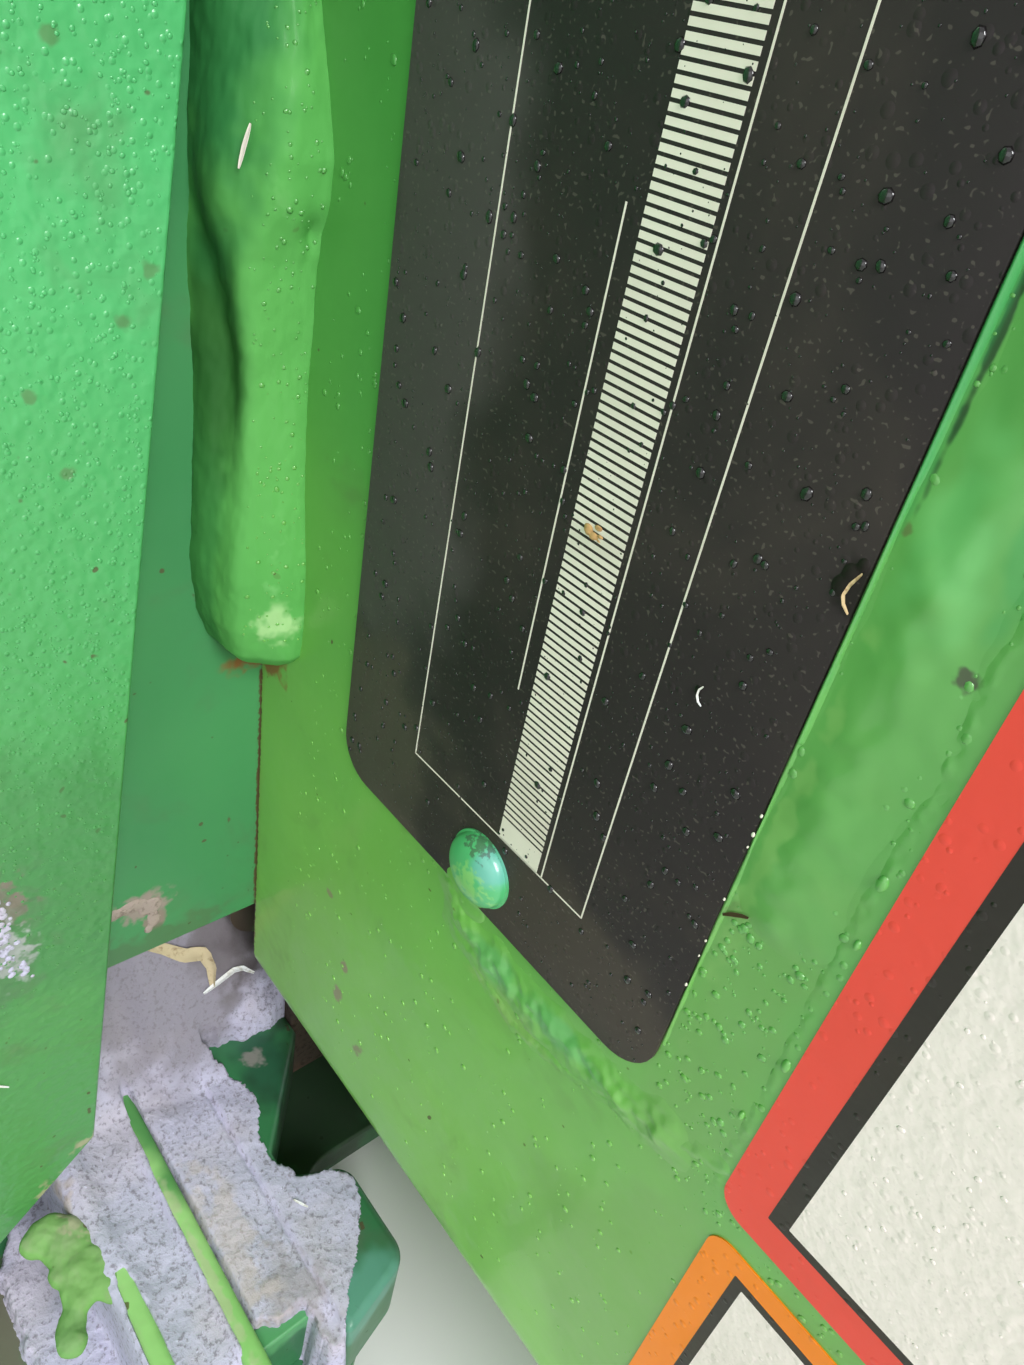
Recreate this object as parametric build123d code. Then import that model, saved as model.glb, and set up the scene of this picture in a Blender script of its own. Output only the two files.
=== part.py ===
"""Front hitch cross-beam of a towed round baler's frame.

A rectangular tube is cut in three and welded to two web plates that pass through it.
Two cheek plates lap the web plates and reach forward: with the top tie plate and the
seat plate they make a box, open in front, that takes the rear end of the drawbar.
A bolted flange on each end carries the beam between the baler's side frames.

Millimetres. X runs along the beam to the baler's left, -Y is forwards, +Z is up.
The origin is the centre of the left flange's outer face.
"""
import os
from math import radians, tan

from build123d import *

# Beam tube
beam_length = 1180.0
tube_height = 250.0
tube_depth = 100.0
tube_wall = 6.0
tube_corner_radius = 9.0
drain_hole_radius = 7.0
drain_hole_inset = 60.0

# End flanges and their gussets
flange_thickness = 12.0
flange_width = 140.0
flange_height = 360.0
flange_corner_radius = 14.0
flange_bolt_radius = 9.0
flange_bolt_spacing_y = 90.0
flange_bolt_spacing_z = 300.0
gusset_thickness = 10.0
gusset_length = 95.0
gusset_flange_inset = 7.0
gusset_toe = 10.0
gusset_cope = 12.0

# Web plates that pass through the beam
box_outer_width = 260.0
web_thickness = 10.0
web_bottom_rise = 22.5
web_top_stand = 10.0
web_rear_stand = 12.0
web_front_reach = 150.0
web_nose_height = 150.0
web_shoulder_reach = 30.0
plate_corner_radius = 10.0

# Cheek plates lapped on the web plates
cheek_thickness = 9.5
cheek_rear_gap = 4.0
cheek_rear_lean = 7.1
cheek_corner_drop = 9.5
cheek_front_reach = 320.0
cheek_nose_height = 170.0
cheek_nose_radius = 32.0
cheek_nose_rise = 15.0
cheek_foot_front_reach = 150.0
cheek_shoulder_reach = 170.0

# Drawbar bolts through the cheeks, with a welded ring round each hole
drawbar_hole_radius = 11.0
drawbar_bolt_spacing_y = 90.0
drawbar_bolt_spacing_z = 90.0
drawbar_bolt_inset = 45.0
ring_radius = 26.0
ring_thickness = 6.0

# Top tie plate between the cheeks
tie_thickness = 8.0
tie_overhang = 8.0
tie_front_reach = 175.0
tie_rear_gap = 6.0
tie_slot_length = 90.0
tie_slot_width = 40.0

# Seat plate below the beam, with upright ribs that make open pockets
seat_drop = 45.0
seat_thickness = 8.0
seat_front_reach = 165.0
seat_wing_front_reach = 58.0
seat_wing_rear_reach = 0.5
seat_wing_overhang = 51.5
seat_wing_cut_length = 9.0
seat_wing_cut_depth = 11.0
seat_core_overhang = 12.0
seat_rear_reach = 90.0
seat_corner_radius = 8.0
rib_height = 21.3
rib_thickness = 4.0
rib_end_inset = 3.0
front_rib_reach = 40.0
middle_rib_reach = 27.2
pocket_end_thickness = 4.0
pocket_end_inset = 8.5
pocket_end_drop = 3.5

# Hook bar: the rearmost rib, with a claw at each end and a root at each seat web
hook_bar_reach = 12.5
hook_bar_depth = 8.5
hook_bar_height = 21.3
hook_end_inset = 0.8
claw_depth = 16.0
claw_length = 26.0
claw_mouth_length = 11.0
claw_mouth_bite = 3.5
claw_radius = 5.0
claw_lean = 5.0
claw_root_overhang = 2.0

# Seat webs that carry the seat plate under the beam
seat_web_thickness = 10.0
seat_web_setback = 10.0

# Weld beads
face_bead_leg = 11.0
face_bead_bottom_clearance = 81.0
face_bead_cheek_clearance = 0.8
small_bead_leg = 7.0
small_bead_end_clearance = 18.0

# Tolerance for picking the corners that lie on a line
nearly = 0.001

# Places worked out from the sizes above
mid_x = -beam_length / 2
face_y = -tube_depth / 2
back_y = tube_depth / 2
tube_top = tube_height / 2
tube_bottom = -tube_height / 2
web_outer = box_outer_width / 2
web_inner = web_outer - web_thickness
cheek_outer = web_outer + cheek_thickness
flange_inner = beam_length / 2 - flange_thickness
seat_top = tube_bottom - seat_drop
rib_top = seat_top + rib_height
seat_wing_end = cheek_outer + seat_wing_overhang
web_bottom = tube_bottom + web_bottom_rise
gusset_height = flange_height / 2 - tube_top - gusset_flange_inset


def outline(points, radius=0.0, rounded=None):
    """A closed flat outline, with a radius on its corners, or on those that rounded picks."""
    sketch = make_face(Polyline(*points, close=True))
    corners = [v for v in sketch.vertices() if rounded is None or rounded(v)]
    return fillet(corners, radius) if radius > 0 else sketch


def plate_across_x(sketch, x_start, thickness):
    """A plate from a (Y, Z) outline, thick along +X, measured from the beam's middle."""
    return extrude(Plane.YZ.offset(mid_x + x_start) * sketch, thickness)


def plate_flat(sketch, z_start, thickness):
    """A plate from an (X, Y) outline about the beam's middle, thick along +Z."""
    return extrude(Plane.XY.offset(z_start) * Pos(mid_x, 0) * sketch, thickness)


def block(x_span, y_span, z_span):
    """A box between two values of X (from the beam's middle), Y and Z."""
    size = [high - low for low, high in (x_span, y_span, z_span)]
    low = (mid_x + x_span[0], y_span[0], z_span[0])
    return Pos(*low) * Box(*size, align=(Align.MIN, Align.MIN, Align.MIN))


def other_side(shape):
    """The same piece on the baler's right."""
    return mirror(shape, about=Plane.YZ.offset(mid_x))


def tube(x_span, drains=()):
    """A length of the beam's tube, with drain holes in its underside at the given X."""
    outer = RectangleRounded(tube_depth, tube_height, tube_corner_radius)
    inner = RectangleRounded(tube_depth - 2 * tube_wall, tube_height - 2 * tube_wall,
                             tube_corner_radius - tube_wall)
    shape = plate_across_x(outer - inner, x_span[0], x_span[1] - x_span[0])
    for x in drains:
        shape -= Pos(mid_x + x, 0, tube_bottom) * Cylinder(drain_hole_radius, 4 * tube_wall)
    return shape


def bead(corner, span, leg, toward, round_ends=False):
    """A quarter bead in the upright corner of two walls.

    corner is the corner line's (X from the middle, Y), span the bead's Z from end to end,
    and toward the signs of the quarter, in X and Y, that the bead fills.
    """
    x, y = mid_x + corner[0], corner[1]
    inset = leg if round_ends else 0.0
    low, high = span[0] + inset, span[1] - inset
    stick = Pos(x, y, (low + high) / 2) * Cylinder(leg, high - low)
    if round_ends:
        stick += [Pos(x, y, z) * Sphere(leg) for z in (low, high)]
    quarter = Pos(x + toward[0] * leg, y + toward[1] * leg, (low + high) / 2) * Box(
        2 * leg, 2 * leg, high - low + 4 * leg)
    return stick & quarter


def cheek_rear_y(z):
    """The cheek's leaning rear edge: its Y at a height."""
    return face_y - cheek_rear_gap - (tube_top - z) * tan(radians(cheek_rear_lean))


def flange():
    """The left end flange, with its four bolt holes."""
    sketch = RectangleRounded(flange_width, flange_height, flange_corner_radius)
    sketch -= GridLocations(flange_bolt_spacing_y, flange_bolt_spacing_z, 2, 2) * Circle(
        flange_bolt_radius)
    return plate_across_x(sketch, flange_inner, flange_thickness)


def gusset(side):
    """A gusset between the left flange and the tube: side 1 is above, -1 below."""
    root = side * tube_top
    points = [
        (flange_inner, root + side * gusset_cope),
        (flange_inner, root + side * gusset_height),
        (flange_inner - gusset_toe, root + side * gusset_height),
        (flange_inner - gusset_length, root + side * gusset_toe),
        (flange_inner - gusset_length, root),
        (flange_inner - gusset_cope, root),
    ]
    sketch = Plane.XZ * Pos(mid_x, 0) * outline(points)
    return extrude(sketch, gusset_thickness / 2, both=True)


def web_plate():
    """The left web plate: closes the tube's cuts and reaches forward inside the cheek."""
    front = face_y - web_front_reach
    nose_middle = (web_bottom + tube_top + web_top_stand) / 2
    points = [
        (back_y + web_rear_stand, web_bottom),
        (back_y + web_rear_stand, tube_top + web_top_stand),
        (face_y - cheek_rear_gap, tube_top + web_top_stand),
        (face_y - cheek_rear_gap - web_shoulder_reach, tube_top - tie_thickness),
        (front, nose_middle + web_nose_height / 2),
        (front, web_bottom),
    ]
    return plate_across_x(outline(points, plate_corner_radius), web_inner, web_thickness)


def cheek():
    """The left cheek plate, with its leaning rear edge, foot on the seat and bolt holes."""
    corner_z = tube_bottom - cheek_corner_drop
    corner_y = cheek_rear_y(corner_z)
    foot_rear = corner_y - (corner_z - seat_top)
    front = face_y - cheek_front_reach
    nose_low = cheek_nose_rise - cheek_nose_height / 2
    nose_high = cheek_nose_rise + cheek_nose_height / 2
    points = [
        (cheek_rear_y(tube_top), tube_top),
        (face_y - cheek_shoulder_reach, tube_top),
        (front, nose_high),
        (front, nose_low),
        (face_y - cheek_foot_front_reach, seat_top),
        (foot_rear, seat_top),
        (corner_y, corner_z),
    ]
    sketch = outline(points, cheek_nose_radius, lambda v: abs(v.X - front) < nearly)
    for y, z in drawbar_holes():
        sketch -= Pos(y, z) * Circle(drawbar_hole_radius)
    return plate_across_x(sketch, web_outer, cheek_thickness)


def drawbar_holes():
    """The (Y, Z) of the four drawbar bolts in a cheek."""
    front = face_y - cheek_front_reach + drawbar_bolt_inset
    half = drawbar_bolt_spacing_z / 2
    return [(front + dy, cheek_nose_rise + dz)
            for dy in (0, drawbar_bolt_spacing_y) for dz in (-half, half)]


def rings():
    """The rings welded round the left cheek's drawbar holes."""
    ring = Circle(ring_radius) - Circle(drawbar_hole_radius)
    return [plate_across_x(Pos(y, z) * ring, cheek_outer, ring_thickness)
            for y, z in drawbar_holes()]


def top_tie():
    """The plate that ties the cheeks' top edges, with a long slot for hoses."""
    half = cheek_outer + tie_overhang
    rear = face_y - tie_rear_gap - web_shoulder_reach
    front = face_y - tie_front_reach
    sketch = outline([(-half, rear), (half, rear), (half, front), (-half, front)],
                     plate_corner_radius)
    sketch -= Pos(0, (rear + front) / 2) * SlotOverall(tie_slot_length, tie_slot_width)
    return plate_flat(sketch, tube_top, tie_thickness)


def seat_plate():
    """The cross-shaped plate under the box: wings outside the cheeks, a core between."""
    core = cheek_outer + seat_core_overhang
    front, rear = face_y - seat_front_reach, face_y + seat_rear_reach
    wing_front = face_y - seat_wing_front_reach
    wing_rear = face_y - seat_wing_rear_reach
    half = [(core, front), (core, wing_front), (seat_wing_end, wing_front),
            (seat_wing_end, wing_rear - seat_wing_cut_depth),
            (seat_wing_end - seat_wing_cut_length, wing_rear), (core, wing_rear), (core, rear)]
    points = half + [(-x, y) for x, y in reversed(half)]
    return plate_flat(outline(points, seat_corner_radius), seat_top - seat_thickness,
                      seat_thickness)


def rib(reach):
    """An upright rib along the whole seat plate, centred at a reach from the beam's face."""
    end = seat_wing_end - rib_end_inset
    middle = face_y - reach
    return block((-end, end), (middle - rib_thickness / 2, middle + rib_thickness / 2),
                 (seat_top, rib_top))


def hook_bar():
    """The rearmost rib: a bar that widens to a root at each seat web, with clawed ends.

    The claws open to the rear.
    """
    front = face_y - hook_bar_reach
    rear = front + hook_bar_depth
    root_rear = face_y + seat_web_setback
    tip = seat_wing_end - hook_end_inset
    heel = tip - claw_length
    half = [
        (web_outer - seat_web_thickness, rear),
        (web_outer - seat_web_thickness, root_rear),
        (web_outer + claw_root_overhang, root_rear),
        (heel - claw_mouth_length, rear - claw_mouth_bite),
        (heel - claw_lean, rear - claw_mouth_bite),
        (heel, front + claw_depth),
        (tip - claw_lean, front + claw_depth),
        (tip, front),
    ]
    points = half + [(-x, y) for x, y in reversed(half)]
    claw = outline(points, claw_radius, lambda v: (abs(v.X) > heel - claw_lean - nearly
                                                   and abs(v.Y - front) > nearly))
    return plate_flat(claw, seat_top, hook_bar_height)


def pocket_end():
    """The low plate that closes the left end of the rear pocket."""
    outer = seat_wing_end - pocket_end_inset
    low_y = face_y - middle_rib_reach + rib_thickness / 2
    return block((outer - pocket_end_thickness, outer), (low_y, face_y - hook_bar_reach),
                 (seat_top, rib_top - pocket_end_drop))


def seat_web():
    """The upright plate, in line with the left web plate, between it and the seat."""
    half = tube_depth / 2 - seat_web_setback
    return block((web_outer - seat_web_thickness, web_outer), (-half, half),
                 (seat_top, web_bottom))


def web_beads():
    """The four upright beads that join the tubes to the left web plate."""
    gap_wanted = face_bead_leg + face_bead_cheek_clearance
    face_top = tube_top - (gap_wanted - cheek_rear_gap) / tan(radians(cheek_rear_lean))
    face_span = (tube_bottom + face_bead_bottom_clearance, face_top)
    small_span = (web_bottom + small_bead_end_clearance, tube_top - small_bead_end_clearance)
    small_corners = [  # corner X, corner Y, quarter
        (web_outer, back_y, (1, 1)),
        (web_inner, face_y, (-1, -1)),
        (web_inner, back_y, (-1, 1)),
    ]
    face_bead = bead((web_outer, face_y), face_span, face_bead_leg, (1, -1), round_ends=True)
    return [face_bead] + [bead((x, y), small_span, small_bead_leg, quarter)
                          for x, y, quarter in small_corners]


def flange_beads():
    """The two upright beads that join the left tube to its flange."""
    span = (tube_bottom + small_bead_end_clearance, tube_top - small_bead_end_clearance)
    return [bead((flange_inner, side * back_y), span, small_bead_leg, (-1, side))
            for side in (-1, 1)]


def write(name, shape):
    """Write one node's STEP file; a list of solids becomes one compound."""
    solids = shape if isinstance(shape, list) else [shape]
    found = [solid for item in solids for solid in item.solids()]
    export_step(found[0] if len(found) == 1 else Compound(children=found),
                f"parts/{name}.step")


def write_pair(name, shape):
    """Write a left-hand node and its mirror image."""
    items = shape if isinstance(shape, list) else [shape]
    write(f"{name}_left", items)
    write(f"{name}_right", [other_side(item) for item in items])


def main():
    """Build every node and write it."""
    os.makedirs("parts", exist_ok=True)
    drain = flange_inner - drain_hole_inset
    pairs = {
        "beam_tube": tube((web_outer, flange_inner), drains=(drain,)),
        "end_flange": flange(),
        "upper_gusset": gusset(1),
        "lower_gusset": gusset(-1),
        "web_plate": web_plate(),
        "cheek_plate": cheek(),
        "bolt_rings": rings(),
        "seat_web": seat_web(),
        "pocket_end": pocket_end(),
        "web_weld_beads": web_beads(),
        "flange_weld_beads": flange_beads(),
    }
    for name, shape in pairs.items():
        write_pair(name, shape)
    singles = {
        "beam_tube_centre": tube((-web_inner, web_inner)),
        "top_tie_plate": top_tie(),
        "seat_plate": seat_plate(),
        "seat_rib_front": rib(front_rib_reach),
        "seat_rib_middle": rib(middle_rib_reach),
        "hook_bar": hook_bar(),
    }
    for name, shape in singles.items():
        write(name, shape)


main()
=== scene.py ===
"""Looks of the hitch cross-beam of a towed round baler.

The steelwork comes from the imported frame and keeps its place. This script rounds its edges,
paints it, and adds what lies on it: weld beads, the data plate, the signs, paint runs, rain
drops, caked crop dust and chaff.

Metres. X runs along the beam to the baler's left, -Y is forwards, +Z is up.
"""

import logging
import math
from dataclasses import dataclass, field, replace
from enum import Enum
from typing import Callable, Iterable, Sequence

import bmesh
import bpy
import numpy as np
from mathutils import Matrix, Vector, noise


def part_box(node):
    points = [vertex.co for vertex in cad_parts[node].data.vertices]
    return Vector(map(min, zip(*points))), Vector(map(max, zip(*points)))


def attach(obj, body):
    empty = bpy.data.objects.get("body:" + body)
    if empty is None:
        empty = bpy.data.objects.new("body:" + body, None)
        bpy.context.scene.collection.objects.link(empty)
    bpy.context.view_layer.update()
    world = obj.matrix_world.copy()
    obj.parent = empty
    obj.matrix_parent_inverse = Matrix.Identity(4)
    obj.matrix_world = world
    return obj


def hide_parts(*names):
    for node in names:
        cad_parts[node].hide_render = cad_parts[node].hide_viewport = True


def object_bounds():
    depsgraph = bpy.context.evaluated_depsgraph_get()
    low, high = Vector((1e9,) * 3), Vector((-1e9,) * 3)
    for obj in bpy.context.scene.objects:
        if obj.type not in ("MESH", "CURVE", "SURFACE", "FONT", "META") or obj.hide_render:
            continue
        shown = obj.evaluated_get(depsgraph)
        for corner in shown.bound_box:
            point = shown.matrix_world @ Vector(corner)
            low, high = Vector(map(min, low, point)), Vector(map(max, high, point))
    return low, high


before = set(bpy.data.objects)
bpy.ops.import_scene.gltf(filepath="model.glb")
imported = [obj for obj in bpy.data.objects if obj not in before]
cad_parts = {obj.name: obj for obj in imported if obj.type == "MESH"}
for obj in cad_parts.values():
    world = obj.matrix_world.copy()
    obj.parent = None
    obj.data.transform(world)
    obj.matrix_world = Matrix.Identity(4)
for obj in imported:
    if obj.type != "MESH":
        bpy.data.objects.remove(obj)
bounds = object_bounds()

log = logging.getLogger("hitch_beam")
Colour = tuple[float, float, float]
Spot = tuple[float, float]
Curve = tuple[tuple[float, ...], tuple[float, ...]]  # places in order, and a value at each
MM = 0.001
BODY = "root"
PHOTO_SIZE = (1024, 1365)
FORE_AFT = Vector((0.0, 1.0, 0.0))
TOUCHING = 1e-7  # metres within which two corners share a plane


@dataclass(frozen=True)
class Places:
    """Planes and edges of the steelwork, read from the frame."""

    mid_x: float
    seam_x: float
    web_inner_x: float
    cheek_x: float
    flange_x: float
    face_y: float
    back_y: float
    tube_low: float
    tube_high: float
    web_low: float
    seat_top: float
    rib_top: float

    @classmethod
    def read(cls) -> "Places":
        """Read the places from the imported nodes.

        Returns:
            The planes and edges that the pieces of this script are set against.
        """
        tube_low, tube_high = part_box("beam_tube_left")
        centre_low, centre_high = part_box("beam_tube_centre")
        return cls(
            mid_x=(centre_low.x + centre_high.x) / 2,
            seam_x=tube_low.x,
            web_inner_x=centre_high.x,
            cheek_x=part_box("cheek_plate_left")[1].x,
            flange_x=tube_high.x,
            face_y=tube_low.y,
            back_y=tube_high.y,
            tube_low=tube_low.z,
            tube_high=tube_high.z,
            web_low=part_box("web_plate_left")[0].z,
            seat_top=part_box("seat_plate")[1].z,
            rib_top=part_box("seat_rib_middle")[1].z,
        )

    def on_face(self, right: float, up: float, out: float = 0.0) -> Vector:
        """A point over the beam's face: metres from the seam, height, metres off the face."""
        return Vector((self.seam_x + right, self.face_y - out, up))

    def mirrored(self, point: Vector) -> Vector:
        """The same point on the other side of the beam's middle."""
        return Vector((2 * self.mid_x - point.x, point.y, point.z))


PLACES = Places.read()


@dataclass(frozen=True)
class ColourPatch:
    """A soft-edged patch of another colour on a finish, round a place on the steelwork.

    Some are stains, some are painted light and shade.
    """

    centre: Vector
    reach: Vector
    colour: Colour
    strength: float = 1.0
    ragged: float = 0.5
    grain: float = 260.0


class Shader:
    """A material being written: each call adds a node and gives back its output."""

    # Patches of painted light and shade spread the same way as stains.
    stain_core = 0.45  # the share of its reach up to which a stain covers fully

    def __init__(self, name: str) -> None:
        """Start an empty material with one principled surface.

        Args:
            name: the material's name.
        """
        self.material = bpy.data.materials.new(name)
        self.material.use_nodes = True
        self.tree = self.material.node_tree
        self.tree.nodes.clear()
        self.surface = self.tree.nodes.new("ShaderNodeBsdfPrincipled")
        output = self.tree.nodes.new("ShaderNodeOutputMaterial")
        self.tree.links.new(self.surface.outputs["BSDF"], output.inputs["Surface"])
        self.place = self.tree.nodes.new("ShaderNodeTexCoord").outputs["Object"]

    def add(self, kind: str, sockets: dict, **settings: object) -> bpy.types.Node:
        """Add a node.

        Args:
            kind: the node's type name.
            sockets: values or outputs for its inputs, by name or number.
            settings: the node's own properties.

        Returns:
            The new node.
        """
        node = self.tree.nodes.new(kind)
        for key, value in settings.items():
            setattr(node, key, value)
        for key, value in sockets.items():
            self.plug(node.inputs[key], value)
        return node

    def plug(self, socket: bpy.types.NodeSocket, value: object) -> None:
        """Feed an input.

        Args:
            socket: the input.
            value: another node's output to link, or the input's own constant.
        """
        if isinstance(value, bpy.types.NodeSocket):
            self.tree.links.new(value, socket)
        else:
            socket.default_value = value

    def set(self, **values: object) -> None:
        """Feed inputs of the surface, with underscores for spaces; a tuple is a colour."""
        for key, value in values.items():
            self.plug(self.surface.inputs[key.replace("_", " ")],
                      (*value, 1.0) if isinstance(value, tuple) else value)

    def noise(self, scale: float, detail: float = 2.0, roughness: float = 0.55,
              twist: float = 0.0) -> bpy.types.NodeSocket:
        """Cloudy noise on the object's own coordinates.

        Args:
            scale: cycles in a metre.
            detail: octaves.
            roughness: weight of the finer octaves.
            twist: distortion.

        Returns:
            The noise's factor, about 0 to 1.
        """
        node = self.add("ShaderNodeTexNoise", {
            "Vector": self.place, "Scale": scale, "Detail": detail,
            "Roughness": roughness, "Distortion": twist})
        return node.outputs["Fac"]

    def spread(self, value: bpy.types.NodeSocket, low: float, high: float,
               to_low: float = 0.0, to_high: float = 1.0) -> bpy.types.NodeSocket:
        """Map a value's range to another one, smoothly and clamped.

        Args:
            value: the value.
            low: where its range starts.
            high: where it ends.
            to_low: the result at low.
            to_high: the result at high.

        Returns:
            The mapped value.
        """
        node = self.add("ShaderNodeMapRange", {
            "Value": value, "From Min": low, "From Max": high,
            "To Min": to_low, "To Max": to_high}, interpolation_type="SMOOTHSTEP")
        return node.outputs["Result"]

    def sum(self, operation: str, first: object, second: object) -> bpy.types.NodeSocket:
        """A sum of two values, by the name of the operation."""
        node = self.add("ShaderNodeMath", {0: first, 1: second}, operation=operation)
        return node.outputs[0]

    def mix(self, share: bpy.types.NodeSocket, first: object, second: object
            ) -> bpy.types.NodeSocket:
        """Mix two colours.

        Args:
            share: how much of the second shows.
            first: a colour, or an output that gives one.
            second: the other.

        Returns:
            The mixed colour.
        """
        colours = [(*c, 1.0) if isinstance(c, tuple) else c for c in (first, second)]
        node = self.add("ShaderNodeMix", {0: share, 6: colours[0], 7: colours[1]},
                        data_type="RGBA")
        return node.outputs[2]

    def axis(self, name: str) -> bpy.types.NodeSocket:
        """One of the object's own coordinates, by its letter."""
        return self.add("ShaderNodeSeparateXYZ", {0: self.place}).outputs[name]

    def stained(self, colour: bpy.types.NodeSocket, stains: Sequence[ColourPatch]
                ) -> bpy.types.NodeSocket:
        """Lay stains and patches of painted light and shade over a colour, in order.

        Args:
            colour: the colour so far.
            stains: the stains and the patches of painted light and shade.

        Returns:
            The stained colour.
        """
        for stain in stains:
            scale = Vector([1.0 / r for r in stain.reach])
            shift = Vector([-c * s for c, s in zip(stain.centre, scale)])
            near = self.add("ShaderNodeMapping", {
                "Vector": self.place, "Location": shift, "Scale": scale})
            size = self.add("ShaderNodeVectorMath", {0: near.outputs[0]}, operation="LENGTH")
            edge = self.spread(self.noise(stain.grain, 2.0), 0.3, 0.7,
                               -stain.ragged, stain.ragged)
            far = self.sum("ADD", size.outputs["Value"], edge)
            cover = self.spread(far, 1.0, self.stain_core, 0.0, stain.strength)
            colour = self.mix(cover, colour, stain.colour)
        return colour

    def drops(self, spacing: float, radius: float, jitter: float = 0.55) -> bpy.types.NodeSocket:
        """The height of small soft drops spread over the surface.

        Args:
            spacing: mean distance between drops.
            radius: the largest drop's radius.
            jitter: how much smaller the smallest are, as a share.

        Returns:
            A height from 0 to 1.
        """
        cells = self.add("ShaderNodeTexVoronoi", {
            "Vector": self.place, "Scale": 1.0 / spacing, "Randomness": 1.0})
        size = self.add("ShaderNodeSeparateColor", {0: cells.outputs["Color"]}).outputs[0]
        reach = self.spread(size, 0.0, 1.0, radius / spacing * (1 - jitter), radius / spacing)
        share = self.sum("DIVIDE", cells.outputs["Distance"], reach)
        inside = self.sum("SUBTRACT", 1.0, self.sum("POWER", share, 2.0))
        return self.sum("MAXIMUM", inside, 0.0)

    def bump(self, height: bpy.types.NodeSocket, depth: float,
             normal: bpy.types.NodeSocket | None = None) -> bpy.types.NodeSocket:
        """Raise the surface.

        Args:
            height: a height from 0 to 1.
            depth: how high 1 stands.
            normal: an earlier bump that this one lies on.

        Returns:
            The bumped normal.
        """
        sockets = {"Height": height, "Distance": depth, "Strength": 1.0}
        if normal is not None:
            sockets["Normal"] = normal
        return self.add("ShaderNodeBump", sockets).outputs["Normal"]


def stains(*rows: tuple) -> tuple[ColourPatch, ...]:
    """Stains and painted light and shade, placed from the seam and the beam's face, by rows as
    below.
    """
    return tuple(ColourPatch(PLACES.on_face(right * MM, up * MM, out * MM), Vector(reach) * MM, *look)
                 for right, up, out, reach, *look in rows)


# A row of stains(): distance from the seam, height, distance in front of the beam's face and
# half widths along X, Y and Z, all in millimetres; colour, strength, how ragged the edge is,
# and the edge's noise in cycles in a metre. A patch's own values stand for what is left off.
# Some rows are stains, and some are painted light and shade, as marked at each.
RUST = (0.24, 0.062, 0.012)
BROWN = (0.07, 0.035, 0.012)
DIRT = (0.27, 0.18, 0.13)
# painted shade in the weld bead's valley
VALLEY_SHADE_GREEN = (0.014, 0.075, 0.014)
BOLT_STAINS = stains(*((x, z, out, (12.0, 18.0, 18.0), RUST, 0.7, 0.5, 300.0)
                       for x in (12.0, -272.0) for z in (-30.0, 60.0) for out in (185.0, 275.0)))
FLANGE_STAINS = stains(*((x, z, out, (22.0, 15.0, 15.0), RUST, 0.75, 0.5, 300.0)
                         for x in (456.0, -716.0) for z in (-150.0, 150.0)
                         for out in (-95.0, -5.0)))
SEAM_STAINS = stains(
    (1.8, -42.8, 0.0, (6.0, 6.0, 4.6), RUST, 0.9, 0.45),
    (0.0, -75.0, 0.0, (0.5, 0.5, 60.0), BROWN, 0.95, 0.35, 900.0),
)
FACE_STAINS_AND_LIGHT = SEAM_STAINS + stains(
    # painted light: lighter green over the face right of the data plate, away from the cheek's
    # shade
    (106.0, 10.0, 0.0, (36.0, 2.0, 80.0), (0.128, 0.39, 0.088), 0.85, 0.2, 60.0),
    (90.5, 21.0, 0.0, (4.0, 1.0, 10.0), (0.165, 0.52, 0.155), 0.75, 0.3, 120.0),
    (94.4, 27.0, 0.0, (1.8, 1.0, 13.0), (0.065, 0.34, 0.085), 0.7, 0.35, 160.0),
    (29.7, -88.0, 0.0, (1.3, 1.0, 1.3), DIRT, 0.8, 0.35, 450.0),
    (28.9, -96.4, 0.0, (1.6, 1.0, 1.9), DIRT, 0.8, 0.35, 450.0),
    (24.1, -75.7, 0.0, (1.0, 1.0, 1.0), DIRT, 0.7, 0.35, 450.0),
    (36.5, -103.4, 0.0, (1.8, 1.0, 1.8), (0.20, 0.11, 0.07), 0.7, 0.35, 450.0),
    (94.3, 13.8, 0.0, (1.15, 1.0, 1.05), (0.05, 0.04, 0.03), 0.85, 0.3, 700.0),
    (86.3, 42.0, 0.0, (0.42, 1.0, 21.0), (0.014, 0.05, 0.014), 0.95, 0.25, 400.0),
    (86.2, 21.2, 0.0, (0.45, 1.0, 0.6), (0.14, 0.07, 0.04), 0.55, 0.3, 700.0),
    (85.6, 58.0, 0.45, (0.9, 1.0, 60.0), (0.040, 0.30, 0.085), 0.8, 0.1, 200.0),
    (86.2, -17.5, 0.0, (0.8, 1.0, 1.4), BROWN, 0.45, 0.35, 500.0),
    (87.0, -10.0, 0.0, (1.2, 1.0, 22.0), (0.26, 0.50, 0.14), 0.45, 0.5, 260.0),
    (60.5, -52.9, 0.5, (6.0, 2.5, 3.4), (0.11, 0.42, 0.16), 0.45, 0.2, 200.0),
    (73.0, -52.2, 0.5, (8.0, 2.5, 3.0), (0.10, 0.40, 0.15), 0.45, 0.2, 200.0),
    (65.0, -58.0, 0.0, (8.0, 2.0, 2.4), (0.28, 0.44, 0.13), 0.4, 0.4, 300.0),
    # painted light: lighter green low on the right of the face, these two rows
    (91.0, -36.0, 0.0, (8.0, 2.0, 40.0), (0.155, 0.36, 0.080), 0.6, 0.2, 120.0),
    (97.0, -84.0, 0.0, (30.0, 2.0, 30.0), (0.155, 0.37, 0.064), 0.8, 0.2, 60.0),
)
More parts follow.
